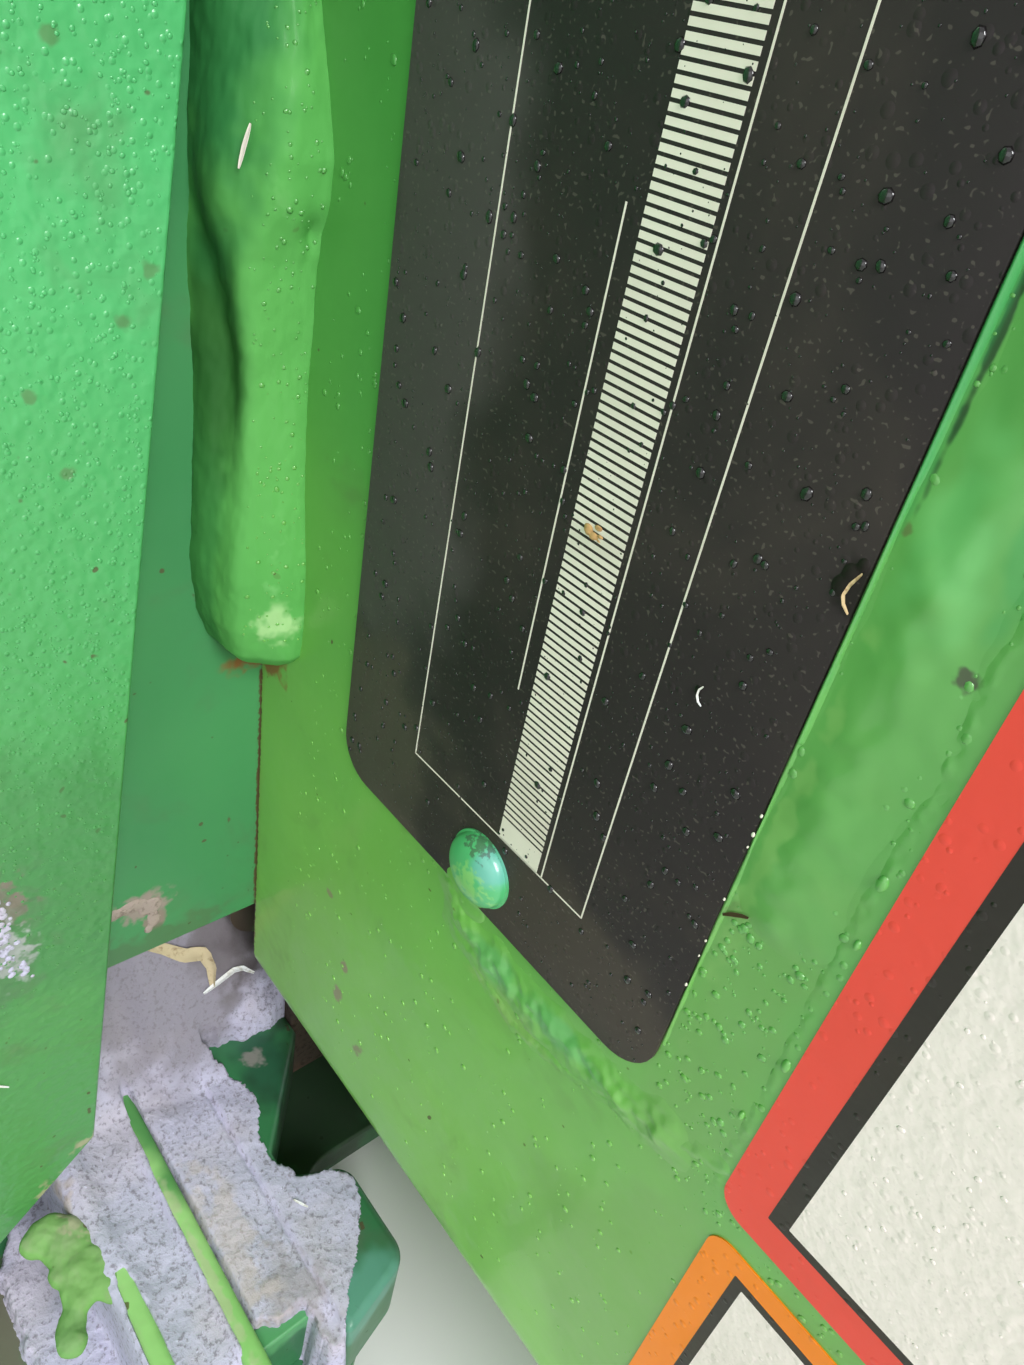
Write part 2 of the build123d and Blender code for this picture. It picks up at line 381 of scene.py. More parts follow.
WELD_STAINS_AND_SHADING = stains(
    # painted shade: the bead's left facet, its valley and the upper lobe's left half
    (1.0, -20.0, 9.5, (5.0, 9.0, 34.0), (0.038, 0.190, 0.045), 0.85, 0.1, 120.0),
    (3.6, 8.0, 8.8, (5.2, 9.0, 25.0), VALLEY_SHADE_GREEN, 0.8, 0.06, 120.0),
    (3.0, 50.0, 9.0, (12.0, 12.0, 42.0), (0.020, 0.145, 0.042), 0.85, 0.12, 150.0),
    # painted highlights: the bead's lit lower end and a strip along its right edge
    (11.6, -31.0, 5.0, (2.9, 5.0, 3.9), (0.44, 0.66, 0.31), 0.62, 0.25, 400.0),
    (11.4, -6.0, 6.0, (1.6, 4.0, 26.0), (0.20, 0.50, 0.17), 0.5, 0.4, 420.0),
    (2.0, -42.0, 2.0, (7.5, 8.0, 3.4), RUST, 0.9, 0.4),
    (9.5, 64.0, 4.0, (3.0, 5.0, 12.0), (0.10, 0.05, 0.03), 0.8, 0.6),
)
WEB_STAINS = SEAM_STAINS + stains(
    (0.0, -90.2, 21.5, (1.5, 6.0, 3.6), (0.32, 0.24, 0.22), 0.95, 0.3, 420.0),
    (0.0, -94.8, 19.5, (1.5, 2.4, 2.6), (0.26, 0.19, 0.16), 0.95, 0.3, 420.0),
    (0.0, -101.0, 22.0, (1.5, 22.0, 6.0), (0.07, 0.13, 0.05), 0.6, 0.4),
)
CHEEK_STAINS_AND_SHADE = BOLT_STAINS + stains(
    # painted shade: darker green over the cheek's lower part
    (9.5, -68.0, 34.0, (1.5, 34.0, 30.0), (0.045, 0.20, 0.058), 0.6, 0.2, 80.0),
    (9.5, -67.0, 45.0, (1.5, 5.0, 6.5), (0.20, 0.15, 0.13), 0.9, 0.5, 450.0),
    (9.5, -77.0, 44.0, (1.5, 3.4, 6.5), (0.42, 0.42, 0.44), 0.95, 0.5, 450.0),
    (9.5, -74.0, 46.0, (1.5, 9.0, 18.0), (0.09, 0.15, 0.08), 0.35, 0.4, 300.0),
    (9.5, -137.5, 37.4, (1.5, 3.0, 4.0), (0.52, 0.38, 0.28), 0.6, 0.5, 420.0),
    (9.5, -143.5, 42.5, (1.5, 4.4, 3.2), (0.52, 0.38, 0.28), 0.6, 0.5, 420.0),
) + stains(*((9.5, z, out, (1.5, 1.1, 1.1), (0.10, 0.12, 0.05), 0.5, 0.3, 500.0)
             for z, out in ((11.2, 22.6), (4.0, 32.4), (-4.8, 29.3), (16.6, 19.2), (36.0, 27.6))))
RIVET_STAINS_AND_SHEEN = stains(
    # painted reflection and light: a bluish sheen high on the dome, a paler yellow-green patch
    # low on it
    (58.1, -37.4, 1.6, (2.8, 4.0, 3.0), (0.16, 0.46, 0.46), 0.65, 0.12, 300.0),
    (56.0, -41.3, 2.0, (3.6, 4.0, 3.2), (0.30, 0.62, 0.16), 0.65, 0.4, 900.0),
    (55.4, -35.5, 1.4, (2.6, 3.0, 1.5), (0.05, 0.035, 0.04), 0.65, 0.7, 1500.0),
)
SEAT_STAINS_AND_SHADING = stains(
    # painted shade: darker green on the seat plate under the beam's face
    (6.0, -148.7, -0.5, (16.0, 7.0, 9.0), (0.018, 0.085, 0.045), 0.85, 0.15, 120.0),
    # painted light: the lit nose of the hook bar
    (58.0, -149.5, 6.0, (11.0, 10.0, 9.0), (0.11, 0.31, 0.235), 0.85, 0.2, 120.0),
    # painted shade: near black in the seat plate's hollow under the beam
    (8.0, -168.0, -12.0, (38.0, 26.0, 26.0), (0.014, 0.030, 0.014), 0.95, 0.2, 120.0),
    (17.0, -170.0, 57.9, (16.0, 16.0, 12.0), (0.16, 0.12, 0.10), 0.8, 0.3, 200.0),
    (51.0, -152.0, 20.0, (9.0, 9.0, 6.0), (0.10, 0.36, 0.14), 0.8, 0.2, 200.0),
    (3.5, -148.7, 1.0, (2.6, 3.0, 1.8), (0.26, 0.24, 0.22), 0.85, 0.35, 400.0),
)
RIB_STAINS = stains(
    (-4.0, -148.7, 26.0, (30.0, 5.0, 5.0), (0.055, 0.24, 0.065), 0.85, 0.2, 100.0),
    (38.0, -148.7, 27.6, (22.0, 1.2, 2.0), (0.50, 0.50, 0.34), 0.5, 0.5, 300.0),
)
FOOT_STAINS = stains(
    (15.0, -148.0, 42.4, (5.0, 3.0, 3.0), (0.46, 0.40, 0.30), 0.6, 0.5, 420.0),
    (32.0, -150.0, 51.0, (6.0, 4.0, 3.0), (0.16, 0.34, 0.11), 0.6, 0.3, 300.0),
)
TUBE_PAINTED_SHADE = stains(
    # painted shade: dark brown low on the centre tube, in the crevice by the web plate over the
    # dust pile
    (-10.0, -117.0, -2.0, (5.0, 16.0, 14.0), (0.05, 0.03, 0.02), 1.0, 0.2),
)
PLATE_STAINS = stains(
    (31.0, 12.0, 0.5, (16.0, 3.0, 70.0), (0.084, 0.070, 0.072), 0.8, 0.2, 60.0),
    (30.0, -36.0, 0.5, (22.0, 3.0, 20.0), (0.085, 0.070, 0.054), 0.8, 0.2, 80.0),
    (72.0, -42.0, 0.5, (26.0, 3.0, 14.0), (0.055, 0.043, 0.034), 0.8, 0.2, 80.0),
    (84.6, 15.8, 0.5, (2.4, 1.0, 2.8), (0.010, 0.008, 0.006), 1.0, 0.25, 400.0),
)
DUST_STAINS_AND_SHADE = stains(
    # painted shade: dark brown under the web plate's corner, and darker grey over the pile beside
    # the web
    (-9.0, -120.0, -2.0, (13.0, 13.0, 26.0), (0.045, 0.032, 0.026), 0.95, 0.2, 200.0),
    (-12.0, -130.0, 14.0, (30.0, 26.0, 28.0), (0.20, 0.18, 0.20), 0.78, 0.15, 120.0),
    (9.0, -147.0, 50.0, (11.0, 9.0, 9.0), (0.54, 0.44, 0.36), 0.7, 0.3),
    (50.0, -148.0, 18.0, (14.0, 8.0, 6.0), (0.32, 0.28, 0.29), 0.6, 0.3),
    (34.0, -148.0, 22.0, (20.0, 4.6, 6.0), (0.60, 0.50, 0.47), 0.45, 0.4),
)


@dataclass(frozen=True)
class Enamel:
    """Gloss enamel over rolled steel, more or less wet, stained and rusty, with painted light and
    shade.
    """

    name: str
    colour: Colour
    shade: Colour
    roughness: float = 0.36
    coat: float = 0.35
    coat_roughness: float = 0.10
    specular: float = 0.5
    drop_spacing: float = 2.6 * MM
    drop_radius: float = 0.8 * MM
    drop_height: float = 0.0
    drops_from: float = -1.0
    drops_fade: float = 35.0 * MM
    peel: float = 0.05 * MM
    peel_scale: float = 310.0
    wave: float = 0.35 * MM
    wave_scale: float = 48.0
    cloud_scale: float = 14.0
    grime_scale: float = 46.0
    grime: float = 0.35
    grime_colour: Colour = (0.10, 0.085, 0.05)
    speck_colour: Colour = (0.08, 0.05, 0.022)
    speck_scale: float = 420.0
    speck_share: float = 0.8
    settled: float = 0.0  # dust on what faces up
    settled_scale: float = 85.0
    settled_colour: Colour = (0.36, 0.32, 0.27)
    # painted light and shade: a colour that the paint turns to towards the bottom
    painted_low_shading: Colour | None = None
    shading_low: float = -105.0 * MM
    shading_high: float = 30.0 * MM
    shading_waver: float = 18.0 * MM
    stains: tuple[ColourPatch, ...] = ()

    def material(self) -> bpy.types.Material:
        """Write the material.

        Returns:
            The finished material.
        """
        shader = Shader(self.name)
        cloudy = shader.noise(self.cloud_scale, 2.0, twist=0.6)
        colour = shader.mix(shader.spread(cloudy, 0.35, 0.68), self.colour, self.shade)
        # painted light and shade that grows towards the bottom, its edge wavering with the cloudy
        # noise
        if self.painted_low_shading is not None:
            waver = shader.spread(cloudy, 0.3, 0.7, -self.shading_waver, self.shading_waver)
            height = shader.sum("ADD", shader.axis("Z"), waver)
            share = shader.spread(height, self.shading_high, self.shading_low)
            colour = shader.mix(share, colour, self.painted_low_shading)
        grime = shader.noise(self.grime_scale, 4.0, 0.66, twist=0.4)
        film = shader.spread(grime, 0.56, 0.80, 0.0, self.grime)
        colour = shader.mix(film, colour, self.grime_colour)
        specks = shader.noise(self.speck_scale, 1.0)
        spots = shader.spread(specks, 0.745, 0.79, 0.0, self.speck_share)
        colour = shader.mix(spots, colour, self.speck_colour)
        if self.settled > 0:
            facing = shader.add("ShaderNodeNewGeometry", {}).outputs["Normal"]
            upward = shader.add("ShaderNodeSeparateXYZ", {0: facing}).outputs["Z"]
            patches = shader.noise(self.settled_scale, 4.0, 0.65)
            lying = shader.sum("MULTIPLY", shader.spread(upward, 0.5, 0.95, 0.0, self.settled),
                               shader.spread(patches, 0.36, 0.60, 0.25))
            colour = shader.mix(lying, colour, self.settled_colour)
        colour = shader.stained(colour, self.stains)
        shader.set(Base_Color=colour)
        rough = shader.spread(grime, 0.3, 0.8, self.roughness - 0.06, self.roughness + 0.16)
        shader.set(Roughness=shader.sum("ADD", rough, spots), Coat_Weight=self.coat,
                   Coat_Roughness=self.coat_roughness, Specular_IOR_Level=self.specular)
        normal = shader.bump(shader.noise(self.peel_scale, 1.0), self.peel)
        normal = shader.bump(shader.noise(self.wave_scale, 1.0), self.wave, normal)
        if self.drop_height > 0:
            drops = shader.drops(self.drop_spacing, self.drop_radius)
            share = shader.spread(shader.axis("Z"), self.drops_from,
                                  self.drops_from + self.drops_fade, 0.15, 1.0)
            normal = shader.bump(shader.sum("MULTIPLY", drops, share), self.drop_height, normal)
        shader.set(Normal=normal, Coat_Normal=normal)
        return shader.material


@dataclass(frozen=True)
class PlainCoat:
    """A smooth coat of one colour with a faint film of dirt, as print and plates have."""

    name: str
    colour: Colour
    dirt: Colour
    dirt_share: float = 0.5
    roughness: float = 0.4
    specular: float = 0.4
    mottle: float = 0.03 * MM
    mottle_scale: float = 420.0
    coat: float = 0.0
    coat_roughness: float = 0.06
    drop_spacing: float = 1.5 * MM
    drop_radius: float = 0.5 * MM
    drop_height: float = 0.0
    dirt_scale: float = 34.0
    speck_scale: float = 2500.0
    speck_share: float = 0.0
    speck_colour: Colour = (0.32, 0.28, 0.23)
    stains: tuple[ColourPatch, ...] = ()

    def material(self) -> bpy.types.Material:
        """Write the material.

        Returns:
            The finished material.
        """
        shader = Shader(self.name)
        film = shader.noise(self.dirt_scale, 4.0, 0.62, twist=0.5)
        share = shader.spread(film, 0.42, 0.78, 0.0, self.dirt_share)
        colour = shader.mix(share, self.colour, self.dirt)
        colour = shader.stained(colour, self.stains)
        if self.speck_share > 0:
            specks = shader.noise(self.speck_scale, 0.0)
            spots = shader.spread(specks, 0.70, 0.78, 0.0, self.speck_share)
            colour = shader.mix(spots, colour, self.speck_colour)
        rough = shader.spread(film, 0.3, 0.8, self.roughness - 0.05, self.roughness + 0.2)
        shader.set(Base_Color=colour, Roughness=rough, Specular_IOR_Level=self.specular,
                   Coat_Weight=self.coat, Coat_Roughness=self.coat_roughness)
        normal = shader.bump(shader.noise(self.mottle_scale, 2.0), self.mottle)
        if self.drop_height > 0:
            drops = shader.drops(self.drop_spacing, self.drop_radius)
            normal = shader.bump(drops, self.drop_height, normal)
        shader.set(Normal=normal)
        return shader.material


@dataclass(frozen=True)
class DustFinish:
    """Caked crop dust or dry stalks, dull and grainy."""

    name: str
    colour: Colour
    dark: Colour
    warm: Colour
    grain_scale: float = 620.0
    grain_depth: float = 0.35 * MM
    broad_scale: float = 55.0
    broad_depth: float = 0.5 * MM
    stains: tuple[ColourPatch, ...] = ()

    def material(self) -> bpy.types.Material:
        """Write the material.

        Returns:
            The finished material.
        """
        shader = Shader(self.name)
        broad = shader.noise(self.broad_scale, 3.0, 0.6)
        grain = shader.noise(self.grain_scale, 3.0, 0.7)
        colour = shader.mix(shader.spread(broad, 0.44, 0.66), self.colour, self.warm)
        colour = shader.mix(shader.spread(grain, 0.50, 0.68, 0.0, 0.75), colour, self.dark)
        pale = shader.spread(shader.noise(self.grain_scale * 1.3, 1.0), 0.70, 0.78, 0.0, 0.6)
        colour = shader.mix(pale, colour, tuple(min(1.0, 1.35 * c) for c in self.colour))
        colour = shader.stained(colour, self.stains)
        shader.set(Base_Color=colour, Roughness=0.95, Specular_IOR_Level=0.2)
        normal = shader.bump(grain, self.grain_depth)
        shader.set(Normal=shader.bump(broad, self.broad_depth, normal))
        return shader.material


class Finish(Enum):
    """The finishes of the cross-beam, each written once."""

    # painted light: the beam face's green turns lighter towards the bottom
    BEAM_GREEN = Enamel("beam_green", (0.064, 0.29, 0.052), (0.078, 0.31, 0.058),
                        peel=0.07 * MM, wave=0.6 * MM, painted_low_shading=(0.205, 0.50, 0.082),
                        settled=0.7, stains=FACE_STAINS_AND_LIGHT)
    FRAME_GREEN = Enamel("frame_green", (0.075, 0.32, 0.045), (0.055, 0.27, 0.04),
                         drop_height=0.12 * MM, settled=0.7,
                         stains=BOLT_STAINS + FLANGE_STAINS)
    # the centre tube's green carries painted shade by the web plate
    CENTRE_GREEN = replace(FRAME_GREEN, name="centre_green", stains=TUBE_PAINTED_SHADE)
    # painted shade: the cheek's green turns darker towards its foot
    CHEEK_GREEN = Enamel("cheek_green", (0.086, 0.47, 0.158), (0.070, 0.40, 0.13),
                         drop_spacing=1.2 * MM, drop_radius=0.42 * MM, drop_height=0.10 * MM,
                         drops_from=-62.0 * MM, settled=0.7,
                         peel=0.30 * MM, peel_scale=520.0, painted_low_shading=(0.070, 0.27, 0.068),
                         shading_low=-84.0 * MM, shading_high=22.0 * MM, stains=CHEEK_STAINS_AND_SHADE)
    # painted shade: the web plate carries the cheek's paint, in a darker green for the shade of
    # its recess
    WEB_GREEN = Enamel("web_green", (0.055, 0.255, 0.086), (0.042, 0.215, 0.077),
                       settled=0.7, stains=WEB_STAINS)
    WELD_GREEN = Enamel("weld_green", (0.105, 0.37, 0.085), (0.075, 0.31, 0.065),
                        roughness=0.5, coat=0.03, specular=0.12, peel=0.10 * MM,
                        wave=0.2 * MM, grime=0.12, speck_share=0.25, stains=WELD_STAINS_AND_SHADING)
    DUSTY_GREEN = Enamel("dusty_green", (0.038, 0.20, 0.075), (0.028, 0.14, 0.055),
                         roughness=0.45, coat=0.2, grime=0.6,
                         grime_colour=(0.10, 0.085, 0.075), stains=SEAT_STAINS_AND_SHADING)
    BRIGHT_GREEN = Enamel("bright_green", (0.34, 0.62, 0.22), (0.25, 0.53, 0.16), grime=0.8,
                          roughness=0.55, coat=0.0, specular=0.25, peel=0.25 * MM,
                          grime_colour=(0.40, 0.36, 0.28), stains=RIB_STAINS)
    FOOT_GREEN = Enamel("foot_green", (0.17, 0.37, 0.10), (0.13, 0.29, 0.075), grime=0.7,
                        roughness=0.6, coat=0.0, specular=0.2, peel=0.45 * MM,
                        peel_scale=480.0, grime_colour=(0.34, 0.32, 0.22), settled=0.35,
                        stains=FOOT_STAINS)
    RIVET_GREEN = Enamel("rivet_green", (0.085, 0.46, 0.17), (0.065, 0.40, 0.14),
                         roughness=0.36, coat=0.6, peel=0.02 * MM, grime=0.1,
                         grime_colour=(0.10, 0.08, 0.09), stains=RIVET_STAINS_AND_SHEEN)
    # the drops on the cheek keep its painted shade towards the foot
    WET_CHEEK = replace(CHEEK_GREEN, name="wet_cheek", roughness=0.3, coat=0.4,
                        peel=0.03 * MM, drop_height=0.0, settled=0.0, stains=())
    # the drops on the face keep its painted light: the lighter bottom and the patch on its right
    WET_FACE = replace(BEAM_GREEN, name="wet_face", roughness=0.28, coat=0.5, settled=0.0,
                       stains=FACE_STAINS_AND_LIGHT[2:3])
    PLATE_BLACK = PlainCoat("plate_black", (0.021, 0.0165, 0.017), (0.075, 0.062, 0.048),
                            0.35, 0.5, 0.22, drop_height=0.06 * MM, speck_share=0.13,
                            stains=PLATE_STAINS)
    WET_BLACK = PlainCoat("wet_black", (0.008, 0.007, 0.007), (0.03, 0.028, 0.022), 0.3,
                          0.16, 0.45, coat=0.55)
    PRINT_CREAM = PlainCoat("print_cream", (0.84, 0.77, 0.68), (0.45, 0.40, 0.30))
    FILM_RED = PlainCoat("film_red", (0.88, 0.070, 0.046), (0.60, 0.08, 0.05), 0.35,
                         mottle=0.05 * MM, drop_height=0.05 * MM)
    FILM_ORANGE = PlainCoat("film_orange", (0.98, 0.245, 0.001), (0.72, 0.20, 0.02), 0.35,
                            drop_height=0.10 * MM)
    FILM_BLACK = PlainCoat("film_black", (0.020, 0.015, 0.011), (0.075, 0.055, 0.035),
                           mottle=0.08 * MM, drop_height=0.10 * MM)
    FILM_WHITE = PlainCoat("film_white", (0.92, 0.81, 0.775), (0.74, 0.66, 0.60), 0.5,
                           mottle=0.16 * MM, mottle_scale=620.0, drop_height=0.05 * MM,
                           speck_share=0.10, speck_colour=(0.30, 0.26, 0.24))
    BRONZE = PlainCoat("bronze_edge", (0.075, 0.036, 0.016), (0.03, 0.018, 0.012), 0.8, 0.4,
                       0.4, mottle=0.2 * MM)
    NICK = PlainCoat("worn_nick", (0.010, 0.008, 0.007), (0.03, 0.02, 0.014), 0.5, 0.45, 0.2)
    DUST = DustFinish("caked_dust", (0.52, 0.50, 0.66), (0.21, 0.19, 0.23),
                      (0.53, 0.49, 0.60), 1000.0, 0.25 * MM, stains=DUST_STAINS_AND_SHADE)
    CRUMBS = DustFinish("dust_crumbs", (0.37, 0.29, 0.27), (0.20, 0.15, 0.13),
                        (0.36, 0.29, 0.23))
    # dark crust, made dark enough to stand also for painted shade in the gap beside the dust pile
    DARK_CRUST = DustFinish("dark_crust_and_shade", (0.06, 0.045, 0.035), (0.02, 0.015, 0.012),
                            (0.10, 0.06, 0.04))
    STRAW = DustFinish("dry_straw", (0.52, 0.43, 0.28), (0.26, 0.18, 0.10),
                       (0.62, 0.54, 0.38), 500.0, 0.1 * MM)
    FLAKE = DustFinish("brown_flake", (0.50, 0.31, 0.13), (0.22, 0.12, 0.05),
                       (0.62, 0.46, 0.26), 900.0, 0.1 * MM)
    PALE_STEM = DustFinish("pale_stem", (0.78, 0.79, 0.80), (0.50, 0.48, 0.42),
                           (0.74, 0.68, 0.52), 500.0, 0.1 * MM)

    def material(self) -> bpy.types.Material:
        """The finish's material, written the first time it is asked for."""
        found = bpy.data.materials.get(self.value.name)
        return found or self.value.material()


def set_out(name: str, data: bpy.types.ID) -> bpy.types.Object:
    """Put a mesh, lamp or camera into the scene.

    Args:
        name: the new object's name.
        data: what it holds.

    Returns:
        The new object.
    """
    made = bpy.data.objects.new(name, data)
    bpy.context.scene.collection.objects.link(made)
    return made


def as_mesh(shape: bmesh.types.BMesh, name: str) -> bpy.types.Mesh:
    """Turn a shape into a mesh.

    Args:
        shape: the shape; it is freed.
        name: the mesh's name.

    Returns:
        The mesh.
    """
    mesh = bpy.data.meshes.new(name)
    shape.to_mesh(mesh)
    shape.free()
    return mesh


def show(mesh: bpy.types.Mesh, name: str, finishes: Sequence[Finish],
         replaced: Sequence[str] = (), crease: float = 40.0) -> bpy.types.Object:
    """Show a finished mesh as a piece that rides on the beam.

    Args:
        mesh: the mesh, in the frame's metres.
        name: the piece's name.
        finishes: its finishes, in the order of its material numbers.
        replaced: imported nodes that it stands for.
        crease: the angle in degrees past which an edge shades sharp.

    Returns:
        The new object.
    """
    mesh.name = name
    for finish in finishes:
        mesh.materials.append(finish.material())
    mesh.shade_smooth()
    mesh.set_sharp_from_angle(angle=math.radians(crease))
    piece = set_out(name, mesh)
    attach(piece, BODY)
    if replaced:
        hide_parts(*replaced)
    log.info("%s: %d faces", name, len(mesh.polygons))
    return piece


def show_shape(shape: bmesh.types.BMesh, name: str, finishes: Sequence[Finish],
               replaced: Sequence[str] = (), crease: float = 40.0) -> bpy.types.Object:
    """Show a finished shape as a piece; the shape is freed, and the rest is as in show."""
    return show(as_mesh(shape, name), name, finishes, replaced, crease)


def melt(shape: bmesh.types.BMesh, voxel: float, rounds: int) -> bpy.types.Mesh:
    """Join overlapping closed shapes into one soft skin.

    Args:
        shape: the shapes; they are freed.
        voxel: the skin's grain.
        rounds: how many times it is smoothed.

    Returns:
        The skin's mesh.
    """
    rough = as_mesh(shape, "rough")
    holder = set_out("rough", rough)
    skin = holder.modifiers.new("skin", "REMESH")
    skin.mode = "VOXEL"
    skin.voxel_size = voxel
    soft = holder.modifiers.new("soft", "SMOOTH")
    soft.iterations = rounds
    soft.factor = 0.5
    bpy.context.view_layer.update()
    ready = holder.evaluated_get(bpy.context.evaluated_depsgraph_get())
    mesh = bpy.data.meshes.new_from_object(ready)
    bpy.data.objects.remove(holder)
    bpy.data.meshes.remove(rough)
    return mesh


def runs_along(edge: bmesh.types.BMEdge, way: Vector) -> bool:
    """Whether an edge runs about along a direction, either way."""
    return abs((edge.verts[0].co - edge.verts[1].co).normalized().dot(way)) > 0.9


def add_ball(shape: bmesh.types.BMesh, centre: Vector, size: Vector, detail: int = 3) -> None:
    """Add a stretched ball."""
    place = Matrix.Translation(centre) @ Matrix.Diagonal((*size, 1.0))
    bmesh.ops.create_icosphere(shape, subdivisions=detail, radius=1.0, matrix=place)


def bevelled(shape: bmesh.types.BMesh, faces: list[bmesh.types.BMFace],
             edges: list[bmesh.types.BMEdge], offset: float, segments: int
             ) -> list[bmesh.types.BMFace]:
    """Bevel some edges of a block.

    Args:
        shape: the shape that holds the block.
        faces: the block's faces.
        edges: the edges to bevel.
        offset: the bevel's width.
        segments: how many steps it has.

    Returns:
        The block's faces with those of the bevel.
    """
    cut = bmesh.ops.bevel(shape, geom=edges, offset=offset, segments=segments, profile=0.5,
                          affect="EDGES", material=-1)
    near = [face for vert in cut["verts"] for face in vert.link_faces]
    return list(dict.fromkeys([f for f in faces if f.is_valid] + list(cut["faces"]) + near))


def add_block(shape: bmesh.types.BMesh, low: Vector, high: Vector, radius: float = 0.0,
              rim: float = 0.0, finish: int = 0) -> None:
    """Add a flat block that faces forwards, with rounded upright corners and a soft front rim.

    Args:
        shape: the shape that takes the block.
        low: its lowest corner.
        high: its highest corner.
        radius: the radius of the corners seen from the front.
        rim: the width of the bevel round the front face.
        finish: the material number of its faces.
    """
    place = Matrix.Translation((low + high) / 2) @ Matrix.Diagonal((*(high - low), 1.0))
    made = bmesh.ops.create_cube(shape, size=1.0, matrix=place)["verts"]
    faces = list(dict.fromkeys(face for vert in made for face in vert.link_faces))
    if radius > 0:
        edges = dict.fromkeys(edge for face in faces for edge in face.edges)
        faces = bevelled(shape, faces, [e for e in edges if runs_along(e, FORE_AFT)], radius, 8)
    if rim > 0:
        edges = dict.fromkeys(edge for face in faces for edge in face.edges)
        faces = bevelled(shape, faces, [e for e in edges if all(
            abs(v.co.y - low.y) < TOUCHING for v in e.verts)], rim, 2)
    for face in faces:
        face.material_index = finish


@dataclass
class SteelPart:
    """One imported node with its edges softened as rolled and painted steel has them."""

    node: str
    finish: Finish
    slot: str
    edge: float
    sharp_angle: float = 40.0  # degrees past which an edge is rounded
    flat_angle: float = 0.5  # degrees below which facets are one flat face
    merge: float = 0.002 * MM

    def build(self) -> bpy.types.Object:
        """Copy the node's solid, round its sharp edges and dress it.

        Returns:
            The piece that stands for the node.
        """
        shape = bmesh.new()
        shape.from_mesh(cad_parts[self.node].data)
        bmesh.ops.remove_doubles(shape, verts=shape.verts, dist=self.merge)
        bmesh.ops.dissolve_limit(shape, angle_limit=math.radians(self.flat_angle),
                                 verts=shape.verts, edges=shape.edges)
        if self.edge > 0:
            least = math.radians(self.sharp_angle)
            sharp = [e for e in shape.edges if e.is_manifold and e.calc_face_angle() > least]
            bmesh.ops.bevel(shape, geom=sharp, offset=self.edge, segments=3, profile=0.5,
                            affect="EDGES", material=-1, clamp_overlap=True)
        for face in shape.faces:
            face.material_index = 0
        piece = show_shape(shape, f"{self.node}_steel", [self.finish], [self.node])
        weights = piece.modifiers.new("flat_faces_stay_flat", "WEIGHTED_NORMAL")
        weights.keep_sharp = True
        weights.weight = 50
        return piece


@dataclass
class SteelWork:
    """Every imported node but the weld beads, by its kind."""

    left_to_welds: tuple[str, ...] = ("web_weld_beads", "flange_weld_beads")

    def build(self) -> None:
        """Choose each node's finish and edge from its kind, and build it."""
        kinds = {  # start of the node's name: finish, slot, edge radius
            "beam_tube_left": (Finish.BEAM_GREEN, "green_paint", 0.0),
            "beam_tube_centre": (Finish.CENTRE_GREEN, "green_paint", 0.0),
            "beam_tube": (Finish.FRAME_GREEN, "green_paint", 0.0),
            "cheek_plate": (Finish.CHEEK_GREEN, "green_paint", 0.6 * MM),
            "web_plate": (Finish.WEB_GREEN, "green_paint", 0.6 * MM),
            "seat_plate": (Finish.DUSTY_GREEN, "dusty_paint", 0.8 * MM),
            # the seat webs' dark crust also stands for painted shade in their gap
            "seat_web": (Finish.DARK_CRUST, "dusty_paint", 0.6 * MM),
            "seat_rib": (Finish.BRIGHT_GREEN, "dusty_paint", 1.3 * MM),
            "hook_bar": (Finish.DUSTY_GREEN, "dusty_paint", 1.8 * MM),
            "pocket_end": (Finish.DUSTY_GREEN, "dusty_paint", 0.6 * MM),
        }
        ordinary = (Finish.FRAME_GREEN, "green_paint", 0.8 * MM)
        for node in sorted(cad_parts):
            if node.startswith(self.left_to_welds):
                continue
            choice = next((kinds[k] for k in kinds if node.startswith(k)), ordinary)
            SteelPart(node, *choice).build()


def swell(value: float | np.ndarray, middle: float, width: float) -> float | np.ndarray:
    """A soft bump of 1 at its middle, that falls off over a width to both sides."""
    return np.exp(-((value - middle) / width) ** 2)


